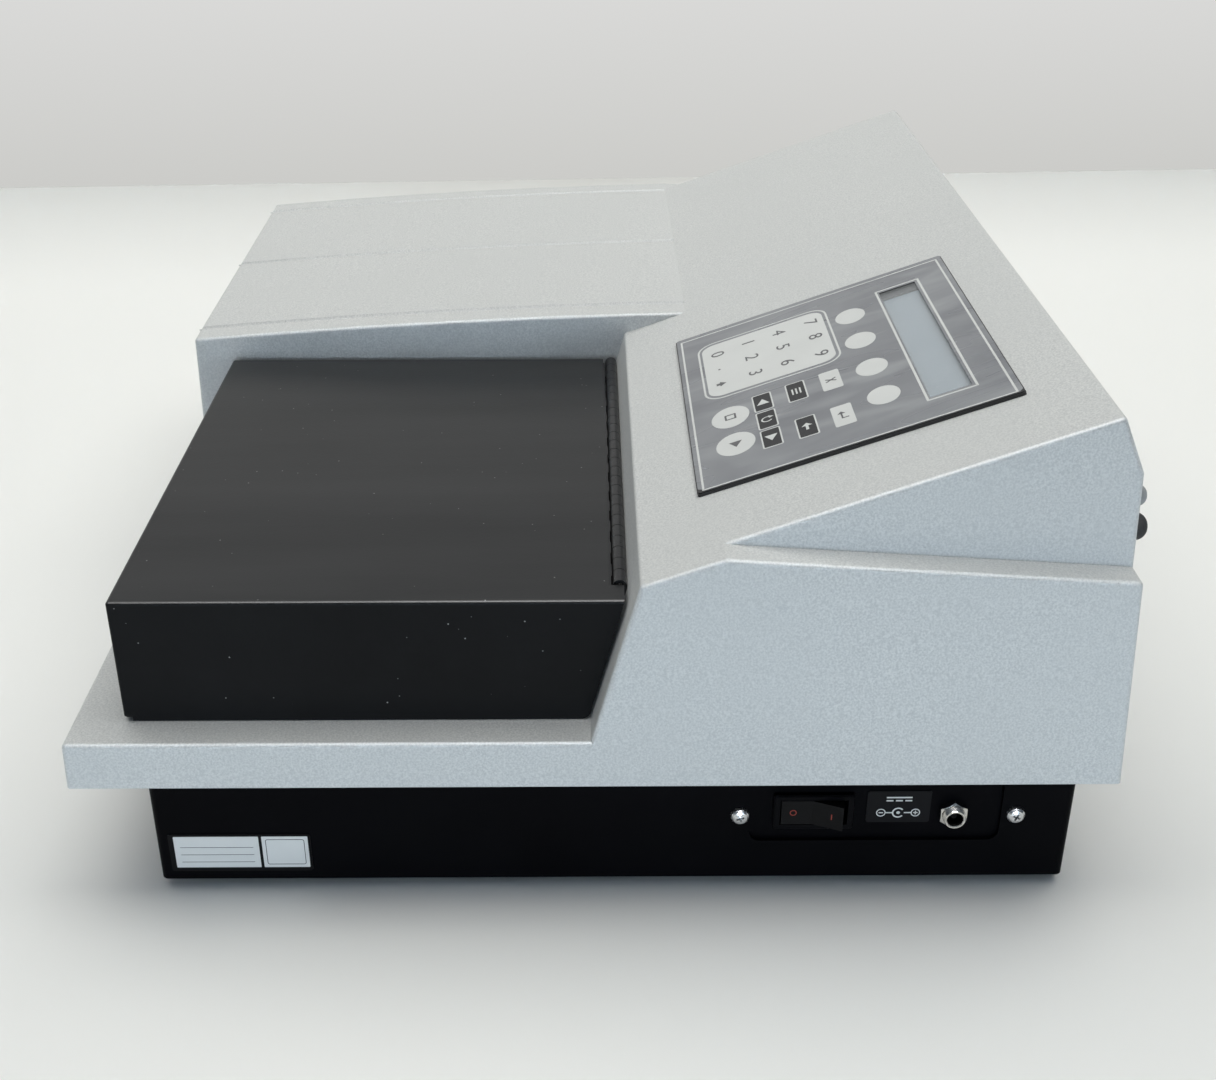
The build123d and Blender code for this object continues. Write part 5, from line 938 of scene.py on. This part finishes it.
def buildJackFittings():
    places = [Matrix.Translation((panelFace, frontY + jack["middle"], jack["height"])) @ sideOut]
    barrel, bore, reach, thick = [jack[name] for name in ("barrel", "bore", "reach", "thick")]
    # hexagon nut with turned corners
    bm = bmesh.new()
    corner = jack["across"] / 2 / cos(pi / 6)
    made = bmesh.ops.create_cone(bm, cap_ends=True, segments=6, radius1=corner, radius2=corner, depth=thick)
    bmesh.ops.translate(bm, vec=(0, 0, thick / 2), verts=made["verts"])
    edge, drop = jack["across"] / 2 - jack["bevel"][0], jack["bevel"][1]
    outside = corner + 0.1
    dome = turned([(0, 0), (edge, 0), (outside, drop), (outside, thick - drop), (edge, thick), (0, thick)], 48)
    hole, mouth = barrel + 0.02, barrel + jack["lead"]
    nut = carve(bm, dome, "INTERSECT")
    nut = carve(nut, turned([(0, -1), (hole, -1), (hole, thick - jack["lead"]), (mouth, thick), (mouth, thick + 1),
                             (0, thick + 1)], 48))
    addFitting("hexagonNut", nut, places, "nickel", "jack_nut")
    # threaded nickel sleeve round the socket's barrel
    height = thick - 0.5
    profile = [(barrel + 0.01, height)]
    while height < reach - 0.3:
        profile += [(barrel + out, height + up) for out, up in jack["ridge"]]
        height += jack["threadPitch"]
    profile += [(barrel - 0.10, reach + 0.12), (bore + 0.25, reach + 0.12), (bore - 0.05, reach - 0.15),
                (bore - 0.05, reach - 1.2), (bore + 0.02, reach - 1.2), (bore + 0.02, reach + 0.02),
                (barrel + 0.01, reach + 0.02)]
    bm = bmesh.new()
    verts = [bm.verts.new((radius, 0, level)) for radius, level in profile]
    edges = [bm.edges.new(pair) for pair in zip(verts, verts[1:] + verts[:1])]
    bmesh.ops.spin(bm, geom=verts + edges, cent=(0, 0, 0), axis=(0, 0, 1), angle=2 * pi, steps=48, use_merge=True)
    bmesh.ops.remove_doubles(bm, verts=bm.verts, dist=0.0001)
    addFitting("socketThread", bm, places, "nickel")


rocker = {
    "pivot": (0.2027, 0.2449, 0.0308), "tilt": 11.0,
    "rise": (2.3, 4.3), "half": 10.25,        # face over the pivot at its fold and at its ends, and half its length
    "markAt": 0.62,                           # share of the half length
    "ring": (1.15, 0.30), "bar": (0.32, 2.2),
    "ink": 0.03,
}


def buildRockerMarks():
    # dull red ring and bar on the rocker's two slopes
    fold, end = rocker["rise"]
    lean = atan((end - fold) / rocker["half"])
    x, y, z = rocker["pivot"]
    pivot = Matrix.Translation((x, frontY + y, z)) @ Matrix.Rotation(-radians(rocker["tilt"]), 4, "Z")
    for name, side in (("rockerRing", -1), ("rockerBar", 1)):
        bm = bmesh.new()
        if side < 0:
            addRing(bm, 0, 0, *rocker["ring"], 0, rocker["ink"], steps=28)
        else:
            addPlate(bm, 0, 0, *rocker["bar"], 0, 0, rocker["ink"])
        spot = Vector((fold + rocker["markAt"] * (end - fold), side * rocker["markAt"] * rocker["half"], 0))
        place = (pivot @ Matrix.Translation(spot * mm) @ Matrix.Rotation(-side * lean, 4, "Z") @ sideOut)
        printPiece(name, bm, redInk, place, "rocker")


ratingPlate = {
    "front": 0.2628, "low": 0.0254, "size": (21.4, 12.9), "thick": 0.3, "ink": 0.03,
    "line": (2.6, 8.6, 0.55),                 # below the top, length, width
    "dash": (3.9, 2.3, 0.55), "dashSteps": (-3.15, 0, 3.15),
    "polarity": 4.0,                          # height of the polarity sign's middle
    "dot": 1.2, "cup": (2.1, 0.5), "arm": (3.1, 2.4, 0.45),
    "ring": (5.8, 1.6, 0.35),                 # away from the middle, radius, line
    "stroke": (1.5, 0.42),
}


def buildRatingPrint():
    # direct current sign over the socket's polarity sign, in white
    place = (Matrix.Translation((panelFace + ratingPlate["thick"] * mm, frontY + ratingPlate["front"],
                                 ratingPlate["low"])) @ sideOut)
    middle, top, ink = ratingPlate["size"][0] / 2, ratingPlate["size"][1], ratingPlate["ink"]
    bm = bmesh.new()
    drop, length, width = ratingPlate["line"]
    addPlate(bm, middle, top - drop, length, width, 0, 0, ink)
    drop, length, width = ratingPlate["dash"]
    for step in ratingPlate["dashSteps"]:
        addPlate(bm, middle + step, top - drop, length, width, 0, 0, ink)
    low, (length, width) = ratingPlate["polarity"], ratingPlate["stroke"]
    addOval(bm, middle, low, ratingPlate["dot"], ratingPlate["dot"], 0, ink, 20)
    addRing(bm, middle, low, *ratingPlate["cup"], 0, ink, radians(40), radians(280), 28)
    arm, ring = ratingPlate["arm"], ratingPlate["ring"]
    for side in (-1, 1):
        addPlate(bm, middle + side * arm[0], low, *arm[1:], 0, 0, ink)
        addRing(bm, middle + side * ring[0], low, *ring[1:], 0, ink, steps=28)
        addPlate(bm, middle + side * ring[0], low, length, width, 0, 0, ink)
    addPlate(bm, middle + ring[0], low, width, length, 0, 0, ink)
    printPiece("ratingPlatePrint", bm, whiteInk, place)


dataLabel = {
    "front": 0.0275, "low": 0.0070, "thick": 0.3,
    "fields": ((16.15, 8.15, 28.7, 13.1), (39.35, 8.15, 15.6, 13.1)),     # x, y, width, height
    "corner": 0.3, "field": 0.04, "ink": 0.02,
    "rules": (-4.2, -1.1, 2.0), "rule": 0.18, "ruleMargin": 4.0,
    "frameMargin": 2.4, "frameCorner": 0.8, "frameLine": 0.22,
}


def buildLabelPrint():
    # two blank white fields, the left one ruled for handwriting and the right one with a thin frame
    place = (Matrix.Translation((traySide + dataLabel["thick"] * mm, frontY + dataLabel["front"], dataLabel["low"]))
             @ sideOut)
    bm = bmesh.new()
    for field in dataLabel["fields"]:
        addPlate(bm, *field, dataLabel["corner"], 0, dataLabel["field"])
    printPiece("labelFields", bm, labelWhite, place)
    bm = bmesh.new()
    x, y, width, height = dataLabel["fields"][0]
    for level in dataLabel["rules"]:
        addPlate(bm, x, y + level, width - dataLabel["ruleMargin"], dataLabel["rule"], 0, dataLabel["field"],
                 dataLabel["ink"])
    x, y, width, height = dataLabel["fields"][1]
    margin = dataLabel["frameMargin"]
    addPlate(bm, x, y, width - margin, height - margin, dataLabel["frameCorner"], dataLabel["field"],
             dataLabel["ink"], dataLabel["frameLine"])
    printPiece("labelRules", bm, blackInk, place)


buildCoverEdges()
buildPanelScrews()
buildJackFittings()
buildRockerMarks()
buildRatingPrint()
buildLabelPrint()
print("small fittings made")
